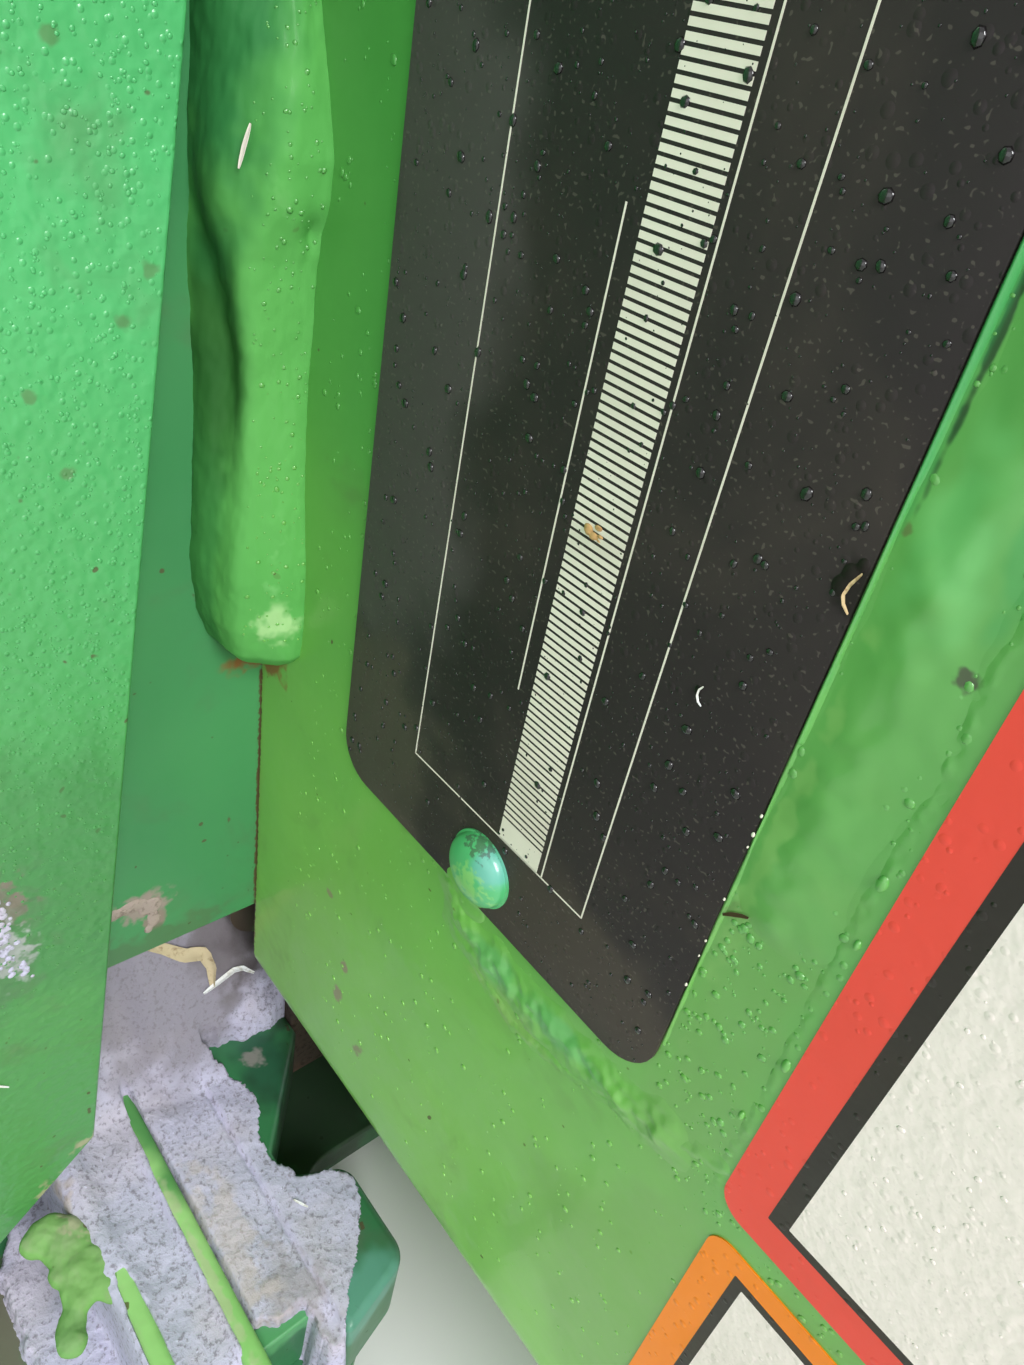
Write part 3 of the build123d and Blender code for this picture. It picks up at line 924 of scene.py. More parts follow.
@dataclass
class UprightBead:
    """The thick two-pass bead between a web plate and the beam's front face."""

    name: str = "upright_bead_left"
    mirrored: bool = False
    seed: float = 3.1
    stations: tuple[tuple[float, float, float], ...] = (
        # height, reach on the web plate, reach on the beam's face; all in millimetres
        (-41.6, 2.0, 2.0), (-40.0, 6.4, 8.4), (-37.4, 9.0, 10.9), (-32.4, 10.8, 11.6),
        (-24.0, 11.5, 11.3), (-11.3, 10.9, 9.8), (3.5, 10.6, 9.3), (11.0, 11.2, 9.8),
        (17.0, 12.0, 10.0), (20.5, 12.2, 10.8), (24.0, 11.9, 11.9), (28.0, 11.3, 12.2),
        (35.0, 10.4, 10.4), (42.0, 10.2, 8.0), (50.0, 10.0, 9.5), (58.0, 9.0, 9.0),
        (61.5, 6.0, 6.0), (62.4, 2.0, 2.0),
    )
    # where the curves give a turn, it is in degrees from the web plate's side
    valley_turn: Curve = ((-43, -22, -5, 6, 15, 25, 34), (28, 30, 33, 28, 17, 2, -12))
    valley_depth: Curve = ((-40, -22, -8, 6, 20, 30), (0.1, 0.6, 1.2, 1.9, 1.9, 0.2))
    valley_widths: Spot = (13.0, 17.0)  # on the face's side, on the web plate's side
    ridge_turn: Curve = ((-43, -19, 1, 9, 17, 25, 40), (41, 42, 44, 46, 48, 62, 70))
    ridge_width: float = 13.0
    ridge_rise: float = 0.85
    pit_depth: float = 1.1
    pit: tuple[Spot, Spot] = ((84.0, 5.0), (20.4, 1.6))  # turn and height, each with its width
    lip_rise: float = 0.35
    lip: tuple[Spot, Spot] = ((74.0, 6.0), (22.0, 3.0))
    wave_rise: float = 0.30
    ripple_rise: float = 0.14
    full_reach: float = 8.0 * MM  # below it, at the ends, the unevenness fades
    around: int = 96
    rings: int = 190
    root: float = 1.2 * MM
    hidden: float = 0.25  # share of each ring that lies inside the steel
    overlap: float = 15.0  # degrees that the skin runs on into the steel

    def radius(self, angle: float, height: float) -> float:
        """The bead's surface, as a distance from the corner line.

        Args:
            angle: degrees from the web plate's side (0) to the face's side (90).
            height: the point's Z.

        Returns:
            The distance in metres.
        """
        z, turn = height / MM, math.radians(min(max(angle, 0.0), 90.0))
        heights, webs, faces = np.array(self.stations).T * MM
        web = float(np.interp(height, heights, webs))
        face = float(np.interp(height, heights, faces))
        oval = 1.0 / math.sqrt((math.cos(turn) / web) ** 2 + (math.sin(turn) / face) ** 2)
        valley_at = float(np.interp(z, *self.valley_turn))
        valley = (float(np.interp(z, *self.valley_depth))
                  * swell(angle, valley_at, self.valley_widths[angle < valley_at]))
        ridge_at = float(np.interp(z, *self.ridge_turn))
        ridge = self.ridge_rise * swell(angle, ridge_at, self.ridge_width)
        pit = self.pit_depth * swell(angle, *self.pit[0]) * swell(z, *self.pit[1])
        lip = self.lip_rise * swell(angle, *self.lip[0]) * swell(z, *self.lip[1])
        wave, coarse, fine = [
            noise.noise(Vector((angle * turns, z * climbs, self.seed + shift)))
            for turns, climbs, shift in ((0.045, 0.11, 0.0), (0.12, 0.42, 6.6), (0.30, 1.1, 2.2))]
        uneven = self.wave_rise * wave + self.ripple_rise * (coarse + 0.7 * fine)
        scale = min(1.0, oval / self.full_reach)
        return oval + MM * scale * (ridge - valley - pit + lip + uneven)

    def build(self) -> bpy.types.Object:
        """Shape a closed sphere's rings into the bead.

        Returns:
            The bead piece.
        """
        shape = bmesh.new()
        bmesh.ops.create_uvsphere(shape, u_segments=self.around, v_segments=self.rings,
                                  radius=1.0)
        low, high = self.stations[0][0] * MM, self.stations[-1][0] * MM
        first, last = -self.overlap, 90.0 + self.overlap
        for vert in shape.verts:
            height = low + (high - low) * math.acos(max(-1.0, min(1.0, -vert.co.z))) / math.pi
            lap = (math.atan2(vert.co.y, vert.co.x) / math.tau) % 1.0
            if lap < self.hidden:
                angle = last + (360.0 + first - last) * lap / self.hidden
                reach = self.root
            else:
                angle = first + (last - first) * (1 - lap) / (1 - self.hidden)
                reach = self.radius(angle, height)
            if math.hypot(vert.co.x, vert.co.y) < 1e-6:
                reach = 0.0
            turn = math.radians(angle)
            place = PLACES.on_face(reach * math.sin(turn), height, reach * math.cos(turn))
            vert.co = PLACES.mirrored(place) if self.mirrored else place
        bmesh.ops.recalc_face_normals(shape, faces=shape.faces)
        return show_shape(shape, self.name, [Finish.WELD_GREEN], crease=60.0)


@dataclass(frozen=True)
class Fillet:
    """A straight fillet weld: its corner line and its leg."""

    start: Vector
    end: Vector
    leg: float


@dataclass
class FilletWelds:
    """Rippled fillet welds along the frame's corners, joined in one piece."""

    name: str
    fillets: list[Fillet]
    replaced: tuple[str, ...] = ()
    ripple_pitch: float = 2.4 * MM
    ripple: float = 0.35 * MM
    wobble: float = 0.10
    wobble_scale: float = 90.0  # cycles in a metre
    sides: int = 16

    def add(self, shape: bmesh.types.BMesh, fillet: Fillet, seed: int) -> None:
        """Add one weld as a rippled round bar centred on its corner line.

        Args:
            shape: the shape that takes the weld.
            fillet: the weld.
            seed: picks the weld's own unevenness.
        """
        line = fillet.end - fillet.start
        turn = line.to_track_quat("Z", "Y").to_matrix().to_4x4()
        place = Matrix.Translation((fillet.start + fillet.end) / 2) @ turn
        earlier = set(shape.verts)
        bar = bmesh.ops.create_cone(shape, cap_ends=True, segments=self.sides,
                                    radius1=fillet.leg, radius2=fillet.leg,
                                    depth=line.length, matrix=place)["verts"]
        along = line.normalized()
        edges = dict.fromkeys(edge for vert in bar for edge in vert.link_edges)
        cuts = max(4, int(line.length / (self.ripple_pitch / 4)))
        bmesh.ops.subdivide_edges(shape, edges=[e for e in edges if runs_along(e, along)],
                                  cuts=cuts)
        for vert in set(shape.verts) - earlier:
            run = (vert.co - fillet.start).dot(along)
            axis = fillet.start + along * run
            out = vert.co - axis
            wobble = noise.noise(Vector((run * self.wobble_scale, seed * 3.7, 0.5)))
            phase = (run / self.ripple_pitch + 0.35 * wobble) % 1.0
            end = min(run, line.length - run) / (fillet.leg * 0.8)
            taper = math.sqrt(max(0.02, min(1.0, end * (2.0 - min(end, 1.0)))))
            size = taper * (fillet.leg * (0.92 + self.wobble * wobble)
                            + self.ripple * (phase - 0.5))
            vert.co = axis + out.normalized() * size if out.length > 1e-9 else vert.co

    def build(self) -> bpy.types.Object:
        """Build every weld of the group.

        Returns:
            The welds piece.
        """
        shape = bmesh.new()
        for seed, fillet in enumerate(self.fillets):
            self.add(shape, fillet, seed)
        bmesh.ops.recalc_face_normals(shape, faces=shape.faces)
        return show_shape(shape, self.name, [Finish.WELD_GREEN],
                          self.replaced, crease=80.0)


@dataclass
class WeldPlan:
    """Where the frame's fillet welds run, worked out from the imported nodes."""

    leg: float = 6.0 * MM
    slight: float = 0.8  # the smaller welds' leg, as a share
    end_gap: float = 18.0 * MM
    corner_gap: float = 14.0 * MM
    gusset_gaps: Spot = (6.0 * MM, 5.0 * MM)  # at the toe along the tube, at the flange's tip
    seat_web_gaps: Spot = (8.0 * MM, 6.0 * MM)  # at the front, at the rear
    tie_gap: float = 16.0 * MM
    rib_gaps: Spot = (30.0 * MM, 8.0 * MM)  # from the cheek, from the rib's end
    foot_span: Spot = (140.0 * MM, 78.0 * MM)  # in front of the beam's face

    def both(self, fillets: list[Fillet]) -> list[Fillet]:
        """The same fillets on both halves of the beam."""
        twins = [Fillet(PLACES.mirrored(f.start), PLACES.mirrored(f.end), f.leg) for f in fillets]
        return fillets + twins

    def line(self, start: Sequence[float], end: Sequence[float], share: float = 1.0) -> Fillet:
        """A fillet between two places, its leg a share of the plan's."""
        return Fillet(Vector(start), Vector(end), self.leg * share)

    def upright(self, x: float, y: float, low: float, high: float) -> Fillet:
        """An upright fillet, short of its ends."""
        return self.line((x, y, low + self.end_gap), (x, y, high - self.end_gap))

    def flange(self) -> list[Fillet]:
        """The welds between the tube, the gussets and the left flange.

        Returns:
            The left half's welds.
        """
        x, low, high = PLACES.flange_x, PLACES.tube_low, PLACES.tube_high
        toe, tip = self.gusset_gaps
        found = [self.upright(x, y, low, high) for y in (PLACES.face_y, PLACES.back_y)]
        for name, side in (("upper_gusset_left", 1), ("lower_gusset_left", -1)):
            box_low, box_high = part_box(name)
            root = high if side > 0 else low
            end = box_high.z if side > 0 else box_low.z
            for y in (box_low.y, box_high.y):
                found.append(self.line((box_low.x + toe, y, root),
                                       (x - self.corner_gap, y, root), self.slight))
                found.append(self.line((x, y, root + side * self.corner_gap),
                                       (x, y, end - side * tip), self.slight))
        return found

    def web(self) -> list[Fillet]:
        """The welds between the tubes and the left web plate, but the big front bead.

        Returns:
            The left half's welds.
        """
        low, high = PLACES.web_low, PLACES.tube_high
        corners = ((PLACES.seam_x, PLACES.back_y), (PLACES.web_inner_x, PLACES.face_y),
                   (PLACES.web_inner_x, PLACES.back_y))
        found = [self.upright(x, y, low, high) for x, y in corners]
        for x in (PLACES.seam_x, PLACES.web_inner_x):
            found.append(self.line((x, PLACES.face_y + self.corner_gap, high),
                                   (x, PLACES.back_y - self.corner_gap, high), self.slight))
        return found

    def seat(self) -> list[Fillet]:
        """The welds that hold the seat plate and its front rib, and the top tie plate.

        Returns:
            The left half's welds.
        """
        web_low, web_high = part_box("seat_web_left")
        tie_low, tie_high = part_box("top_tie_plate")
        rib_low, rib_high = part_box("seat_rib_front")
        x, foot = PLACES.cheek_x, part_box("cheek_plate_left")[0].z
        front, rear = self.seat_web_gaps
        found = [self.line((side, web_low.y + front, web_low.z),
                           (side, web_high.y - rear, web_low.z), self.slight)
                 for side in (web_low.x, web_high.x)]
        found.append(self.line((x, tie_low.y + self.tie_gap, tie_low.z),
                               (x, tie_high.y - self.tie_gap, tie_low.z), self.slight))
        found.append(self.line((x + self.rib_gaps[0], rib_low.y, rib_low.z),
                               (rib_high.x - self.rib_gaps[1], rib_low.y, rib_low.z), 0.6))
        found.append(self.line(*((x, PLACES.face_y - reach, foot) for reach in self.foot_span)))
        return found

    def build(self) -> None:
        """Build the three groups of welds, and a plainer twin of the big bead on the right."""
        FilletWelds("flange_welds", self.both(self.flange()),
                    ("flange_weld_beads_left", "flange_weld_beads_right")).build()
        FilletWelds("web_welds", self.both(self.web()),
                    ("web_weld_beads_left", "web_weld_beads_right")).build()
        FilletWelds("seat_welds", self.both(self.seat())).build()
        UprightBead().build()
        UprightBead("upright_bead_right", mirrored=True, seed=41.7).build()


@dataclass
class DataPlate:
    """The black data plate, blank but for its ruled lines and hatched band, and its rivets."""

    left: float = 24.8 * MM
    right: float = 85.2 * MM
    low: float = -46.6 * MM
    high: float = 62.7 * MM
    corner: float = 6.0 * MM
    rim: float = 0.12 * MM
    thick: float = 0.5 * MM
    rule: float = 0.19 * MM
    rule_height: float = 0.03 * MM
    frame_left: float = 40.3 * MM
    frame_right: float = 71.4 * MM
    frame_low: float = -33.3 * MM
    frame_high: float = 49.4 * MM
    inner_rule: float = 64.7 * MM
    name_rule: float = 55.1 * MM
    name_rule_span: Spot = (-13.2 * MM, 34.2 * MM)
    band: Spot = (57.1 * MM, 63.9 * MM)
    band_foot: float = 3.2 * MM
    bar_pitch: float = 0.86 * MM
    bar_width: float = 0.56 * MM
    rivet_at: Spot = (55.5 * MM, -40.3 * MM)
    rivet_radius: float = 5.2 * MM
    rivet_height: float = 2.6 * MM
    brim: float = 0.28 * MM
    dome_steps: int = 10
    dome_power: float = 0.8

    def strip(self, shape: bmesh.types.BMesh, right: Spot, up: Spot) -> None:
        """Add one printed strip.

        Args:
            shape: the shape that takes the strip.
            right: the strip's span across the plate.
            up: its span along the plate.
        """
        low = PLACES.on_face(right[0], up[0], self.thick + self.rule_height)
        high = PLACES.on_face(right[1], up[1], self.thick - self.rule_height)
        add_block(shape, low, high, finish=1)

    def build(self) -> bpy.types.Object:
        """Build the plate with its print.

        Returns:
            The plate piece.
        """
        shape = bmesh.new()
        add_block(shape, PLACES.on_face(self.left, self.low, self.thick),
                  PLACES.on_face(self.right, self.high, 0.0), self.corner, self.rim)
        half = self.rule / 2
        for x in (self.frame_left, self.frame_right, self.inner_rule):
            self.strip(shape, (x - half, x + half), (self.frame_low, self.frame_high))
        for z in (self.frame_low, self.frame_high):
            self.strip(shape, (self.frame_left, self.frame_right), (z - half, z + half))
        self.strip(shape, (self.name_rule - half, self.name_rule + half), self.name_rule_span)
        foot = self.frame_low + self.band_foot
        self.strip(shape, self.band, (self.frame_low, foot))
        for index in range(int((self.frame_high - foot) / self.bar_pitch)):
            start = foot + (self.bar_pitch - self.bar_width) + index * self.bar_pitch
            self.strip(shape, self.band, (start, start + self.bar_width))
        return show_shape(shape, "data_plate", [Finish.PLATE_BLACK, Finish.PRINT_CREAM])

    def rivets(self) -> bpy.types.Object:
        """Spin the domed heads of the two rivets.

        Returns:
            The rivets piece.
        """
        shape = bmesh.new()
        wide, dome = self.rivet_radius - self.brim, self.rivet_height - self.brim
        turns = [math.pi / 2 * step / self.dome_steps for step in range(self.dome_steps + 1)]
        profile = [Vector((wide * math.sin(t),
                           -self.brim - dome * max(0.0, math.cos(t)) ** self.dome_power, 0.0))
                   for t in turns]
        profile += [Vector((self.rivet_radius, -0.8 * self.brim, 0.0)),
                    Vector((self.rivet_radius, 0.0, 0.0)), Vector((0.0, self.thick / 2, 0.0))]
        for up in (self.rivet_at[1], self.low + self.high - self.rivet_at[1]):
            centre = PLACES.on_face(self.rivet_at[0], up, self.thick)
            verts = [shape.verts.new(centre + p) for p in profile]
            edges = [shape.edges.new(pair) for pair in zip(verts, verts[1:])]
            bmesh.ops.spin(shape, geom=verts + edges, cent=centre, axis=(0.0, 1.0, 0.0),
                           angle=math.tau, steps=48, use_merge=True)
        bmesh.ops.remove_doubles(shape, verts=shape.verts, dist=0.001 * MM)
        bmesh.ops.recalc_face_normals(shape, faces=shape.faces)
        return show_shape(shape, "plate_rivets", [Finish.RIVET_GREEN],
                          crease=60.0)


@dataclass
class Sign:
    """A sign: a coloured border, a black line and a blank pale panel, as film layers."""

    name: str
    border: Finish
    left: float
    right: float
    low: float
    high: float
    side_border: float
    side_line: float
    end_border: float
    end_line: float
    corner: float = 3.2 * MM
    inner_corner: float = 0.15 * MM
    film: float = 0.18 * MM
    layer: float = 0.02 * MM

    def build(self) -> bpy.types.Object:
        """Build the sign's layers.

        Returns:
            The sign piece.
        """
        shape = bmesh.new()
        insets = ((0.0, 0.0), (self.side_border, self.end_border),
                  (self.side_border + self.side_line, self.end_border + self.end_line))
        for index, (side, end) in enumerate(insets):
            out = self.film + index * self.layer
            low = PLACES.on_face(self.left + side, self.low + end, out)
            high = PLACES.on_face(self.right - side, self.high - end, 0.0)
            corner = self.corner if index == 0 else self.inner_corner
            add_block(shape, low, high, corner, finish=index)
        return show_shape(shape, self.name, [self.border, Finish.FILM_BLACK, Finish.FILM_WHITE])


@dataclass
class CrumbTrail:
    """Crumbs of dust stuck along a path on an upright plate, melted together."""

    name: str
    path: tuple[Vector, ...]
    sizes: Spot = (0.2 * MM, 0.7 * MM)
    height: float = 0.25 * MM
    spacing: float = 0.35 * MM
    stray: float = 1.6 * MM
    voxel: float = 0.15 * MM
    seed: int = 33

    def build(self) -> bpy.types.Object:
        """Lay crumbs along the path and melt them together.

        Returns:
            The crumbs piece.
        """
        rng = np.random.default_rng(self.seed)
        shape = bmesh.new()
        for start, end in zip(self.path, self.path[1:]):
            length = (end - start).length
            for index in range(max(1, int(length / self.spacing))):
                share = (index + rng.random() * 0.6) * self.spacing / length
                radius = self.sizes[0] + (self.sizes[1] - self.sizes[0]) * rng.random()
                _, along, up = [self.stray * (2 * rng.random() - 1) for _ in range(3)]
                height = self.height * (0.6 + 0.8 * rng.random())
                add_ball(shape, start.lerp(end, share) + Vector((0.0, along, up)),
                         Vector((height, radius, radius)), 2)
        return show(melt(shape, self.voxel, 2), self.name, [Finish.DUST],
                    crease=80.0)


@dataclass
class Lumps:
    """Blobs melted into one lump, from a short list of centres and sizes."""

    name: str
    finish: Finish
    slot: str
    blobs: tuple[tuple[Vector, Vector], ...]
    voxel: float
    rounds: int = 4
    roughen: float = 0.0
    seed: float = 0.0
    grain: float = 420.0  # cycles in a metre

    def build(self) -> bpy.types.Object:
        """Melt the blobs together and roughen the skin.

        Returns:
            The lump piece.
        """
        shape = bmesh.new()
        for centre, size in self.blobs:
            add_ball(shape, centre, size)
        mesh = melt(shape, self.voxel, self.rounds)
        if self.roughen > 0:
            for vert in mesh.vertices:
                fine = noise.noise(vert.co * self.grain + Vector((self.seed, 0.0, 0.0)))
                vert.co += vert.normal * self.roughen * fine
        return show(mesh, self.name, [self.finish], crease=80.0)


def over_face(*spots: Spot, out: float = 0.0) -> tuple[Vector, ...]:
    """Places over the beam's face, by distance from the seam and height, in millimetres."""
    return tuple(PLACES.on_face(x * MM, z * MM, out * MM) for x, z in spots)


def blobs_over_face(rows: Iterable[tuple[float, float, float]], out: float, depth: float,
                    tall: float) -> tuple[tuple[Vector, Vector], ...]:
    """Blobs over the beam's face, by millimetres from the seam, height and half width."""
    return tuple((PLACES.on_face(x * MM, z * MM, out * MM), Vector((r, depth, r * tall)) * MM)
                 for x, z, r in rows)


def smooth_step(value: np.ndarray, low: float, high: float) -> np.ndarray:
    """A smooth rise from 0 at low to 1 at high."""
    share = np.clip((value - low) / (high - low), 0.0, 1.0)
    return share * share * (3.0 - 2.0 * share)


def clouds(points: np.ndarray, scale: float, seed: float) -> np.ndarray:
    """Cloudy noise of about -1 to 1 at (x, y) rows, in cycles for each unit."""
    return np.array([noise.noise(Vector((x * scale, y * scale, seed))) for x, y in points])


def path_gap(points: np.ndarray, path: np.ndarray) -> np.ndarray:
    """How far points lie from a path.

    Args:
        points: an array of (x, y) rows.
        path: the path's corners in order, as (x, y) rows.

    Returns:
        One distance for each point.
    """
    nearest = np.full(len(points), np.inf)
    for start, end in zip(path, path[1:]):
        line = end - start
        share = np.clip((points - start) @ line / (line @ line), 0.0, 1.0)
        nearest = np.minimum(nearest,
                             np.linalg.norm(points - (start + share[:, None] * line), axis=1))
    return nearest


def depth_inside(points: np.ndarray, outline: np.ndarray) -> np.ndarray:
    """How deep points lie inside a closed outline, negative outside.

    Args:
        points: an array of (x, y) rows.
        outline: the outline's corners in order, as (x, y) rows.

    Returns:
        One signed distance for each point.
    """
    closed = np.vstack((outline, outline[:1]))
    gap, inside = path_gap(points, closed), np.zeros(len(points), bool)
    for start, end in zip(closed, closed[1:]):
        crosses = (points[:, 1] < start[1]) != (points[:, 1] < end[1])
        with np.errstate(divide="ignore", invalid="ignore"):
            cut = start[0] + (points[:, 1] - start[1]) * (end - start)[0] / (end - start)[1]
        inside ^= crosses & (points[:, 0] < cut)
    return np.where(inside, gap, -gap)


def from_seam(places: Sequence[Vector], second: int) -> np.ndarray:
    """Distances from the seam and along axis 1 or 2, as rows of millimetres."""
    return (np.array(places)[:, (0, second)] - (PLACES.seam_x, 0.0)) / MM


def lifted_patch(place: Matrix, cells: np.ndarray, bare: Callable[[Sequence[Vector]], np.ndarray]
                 ) -> tuple[bmesh.types.BMesh, list[bmesh.types.BMVert]]:
    """Make a fine flat patch with a second layer, for its user to raise.

    Args:
        place: moves a grid of 2 by 2 onto the patch.
        cells: how many cells it has each way.
        bare: tells from the cells' middles which of them are left out.

    Returns:
        The shape, and the corners of its second layer.
    """
    shape = bmesh.new()
    bmesh.ops.create_grid(shape, x_segments=int(cells[0]), y_segments=int(cells[1]), size=1.0,
                          matrix=place)
    left_out = bare([face.calc_center_median() for face in shape.faces])
    bmesh.ops.delete(shape, geom=[f for f, gone in zip(shape.faces, left_out) if gone],
                     context="FACES")
    raised = bmesh.ops.extrude_face_region(shape, geom=list(shape.faces),
                                           use_keep_orig=True)["geom"]
    return shape, [v for v in raised if isinstance(v, bmesh.types.BMVert)]


@dataclass
class PaintSkin:
    """Thick paint that swells out of the beam's face along a path, lumpy or smooth."""

    name: str
    path: tuple[Spot, ...]  # distance from the seam, height; both in millimetres
    half: float
    rise: float
    grain: float
    rough: float
    cell: float = 0.25
    seed: float = 0.0
    shelf: float = 0.0  # how far to the right of the path a film keeps its height
    sink: float = 0.03
    buried: float = 0.15 * MM

    def height(self, spots: np.ndarray) -> np.ndarray:
        """The paint's height over the face.

        Args:
            spots: rows of distance from the seam and height, in millimetres.

        Returns:
            The paint's heights in millimetres, below 0 where there is none.
        """
        path = np.array(self.path)
        waver = clouds(spots, self.grain * 0.6, self.seed + 20.0)
        lumps = clouds(spots, self.grain, self.seed) + 0.6 * clouds(
            spots, self.grain * 2.3, self.seed + 9.0)
        if self.shelf > 0:
            across = spots[:, 0] - np.interp(spots[:, 1], path[:, 1], path[:, 0]) + 0.5 * waver
            lip = swell(across, 0.3, 0.45) * (0.3 + self.rough * lumps)
            return self.rise * (smooth_step(across, -0.7, 0.4) + lip) - self.sink
        gap = path_gap(spots, path) * (1.0 + 0.5 * waver)
        share = 1.0 - smooth_step(gap, 0.0, self.half)
        return self.rise * share * (1.0 + self.rough * lumps) - self.sink

    def build(self) -> bpy.types.Object:
        """Raise a fine grid to the paint's height and leave out what stays under the face.

        Returns:
            The paint piece.
        """
        path = np.array(self.path)
        low, high = path.min(0) - self.half, path.max(0) + max(self.half, self.shelf)
        middle = PLACES.on_face(*((low + high) / 2 * MM), -self.buried)
        place = (Matrix.Translation(middle) @ Matrix.Rotation(math.pi / 2, 4, "X")
                 @ Matrix.Diagonal((*((high - low) * MM / 2), 1.0, 1.0)))
        shape, top = lifted_patch(
            place, np.ceil((high - low) / self.cell),
            lambda middles: self.height(from_seam(middles, 2)) < -0.5 * self.sink)
        for vert, up in zip(top, self.height(from_seam([v.co for v in top], 2))):
            vert.co.y = PLACES.face_y - up * MM
        bmesh.ops.recalc_face_normals(shape, faces=shape.faces)
        return show_shape(shape, self.name, [Finish.BEAM_GREEN], crease=80.0)


@dataclass
class DustBed:
    """Crop dust caked over the ribs and the hook bar on the left of the seat plate."""

    outline: tuple[Spot, ...] = (  # distance from the seam, Y; both in millimetres
        (-40.0, -36.0), (-14.0, -37.5), (-3.2, -38.6), (-0.8, -44.0), (-0.6, -48.7),
        (-4.3, -58.6), (5.3, -55.3), (11.3, -53.4), (17.8, -56.6), (23.6, -57.8),
        (30.4, -55.0), (32.2, -49.4), (37.2, -45.6), (43.0, -47.8), (47.0, -50.8),
        (52.2, -55.4), (61.4, -63.4), (60.4, -65.4), (56.4, -66.6), (51.6, -66.8), (51.4, -71.0),
        (49.0, -74.6), (57.0, -79.0), (57.5, -105.0), (28.0, -106.5), (8.0, -106.5),
        (-4.0, -100.0), (-40.0, -96.0),
    )
    bare_strips: tuple[tuple[float, float, float, float], ...] = (  # middle Y, half, X span
        (-76.3, 1.20, -5.2, 24.0), (-89.9, 0.8, 26.8, 36.0),
    )
    strip_depth: float = 3.4
    front_depth: float = 5.0
    cell: float = 0.42
    edge: float = 1.0
    skirt: float = 1.4
    buried: float = 0.4 * MM
    ragged: float = 0.9
    rib_height: float = (PLACES.rib_top - PLACES.seat_top) / MM
    seed: float = 5.0

    def level(self, x: np.ndarray, y: np.ndarray) -> np.ndarray:
        """The dust's height over the ribs' tops, in millimetres.

        Args:
            x: distances from the seam, in millimetres.
            y: the points' Y, in millimetres.

        Returns:
            The heights.
        """
        near_cheek = 1.0 - smooth_step(x, 0.0, 20.0)
        level = -0.5 + 1.0 * near_cheek
        # the middle rib's top, the pocket behind it and the hook bar's top
        level += (1.15 - near_cheek) * smooth_step(y, -79.8, -78.8)
        level += (0.15 - level) * smooth_step(y, -75.4, -74.4)
        level += 0.5 * smooth_step(y, -63.0, -62.0)
        # cracks along the hook bar and the middle rib, and a ridge over the front rib
        level -= 0.9 * swell(y, -62.6, 0.35) * smooth_step(x, 2.0, 8.0)
        level -= 0.35 * swell(y, -78.8, 0.8) * smooth_step(x, 6.0, 30.0)
        level += 1.9 * swell(y, -90.2, 2.6) * (1.0 - smooth_step(x, 24.0, 29.0))
        level += 1.4 * swell(y, -90.2, 3.0) * smooth_step(x, 24.0, 29.0)
        for middle, half, start, end in self.bare_strips:
            share = np.clip((x - start) / (end - start), 0.0, 1.0)
            width = 0.6 + half * share ** 0.7
            open_share = smooth_step(x, start, start + 2.0)
            level -= self.strip_depth * open_share * (
                1.0 - smooth_step(np.abs(y - middle) / width, 0.75, 1.25))
        level -= 2.2 * smooth_step(x, 50.0, 56.0) * (1.0 - smooth_step(y, -64.0, -61.6))
        brow = -92.4 - 0.8 * (1.0 - smooth_step(x, 22.0, 34.0))
        level += (self.front_depth - self.rib_height - level) * (
            1.0 - smooth_step(y - brow, -1.6, 0.0))
        inward = -x - 3.0 * (1.0 - smooth_step(y, -74.0, -67.0))
        pile = np.interp(inward, (-4.0, 0.0, 5.0, 10.0, 15.0, 30.0), (0, 2, 8, 18, 28, 42))
        return level + pile * smooth_step(y, -99.0, -84.0)

    def surface(self, right: float, y: float, lift: float = 0.0) -> Vector:
        """A place on the bed.

        Args:
            right: its distance from the seam, in millimetres.
            y: its Y, in millimetres.
            lift: its distance over the dust, in millimetres.

        Returns:
            The place.
        """
        height = float(self.level(np.array([right]), np.array([y]))[0])
        return Vector((PLACES.seam_x + right * MM, y * MM,
                       PLACES.rib_top + (height + lift) * MM))

    def along(self, *spots: tuple[float, float, float]) -> tuple[Vector, ...]:
        """Places on the bed, by distance from the seam, Y and lift, in millimetres."""
        return tuple(self.surface(*spot) for spot in spots)

    def build(self) -> bpy.types.Object:
        """Raise a fine grid to the dust's level inside its outline.

        Returns:
            The dust piece.
        """
        corners = np.array(self.outline)
        low, high = corners.min(0) - 2.0, corners.max(0) + 2.0
        size = Matrix.Diagonal((*((high - low) * MM / 2), 1.0, 1.0))
        middle = (low + high) / 2 * MM
        base = PLACES.seat_top - self.buried
        place = Matrix.Translation((PLACES.seam_x + middle[0], middle[1], base)) @ size
        shape, top = lifted_patch(
            place, np.ceil((high - low) / self.cell),
            lambda middles: depth_inside(from_seam(middles, 1), corners) < -self.skirt)
        spots = from_seam([v.co for v in top], 1)
        waver = clouds(spots, 0.33, self.seed) + 0.5 * clouds(spots, 1.1, self.seed)
        lumps = (clouds(spots, 0.16, self.seed + 3) + 0.30 * clouds(spots, 0.55, self.seed + 7)
                 + 0.22 * clouds(spots, 1.9, self.seed + 9))
        depth = depth_inside(spots, corners) + self.ragged * waver
        rise = smooth_step(depth, -0.3, self.edge)
        height = self.rib_height + self.level(spots[:, 0], spots[:, 1]) + 0.5 * lumps
        for vert, up in zip(top, rise * height):
            vert.co.z = base + (up + 0.1) * MM
        bmesh.ops.recalc_face_normals(shape, faces=shape.faces)
        return show_shape(shape, "dust_bed", [Finish.DUST], crease=80.0)


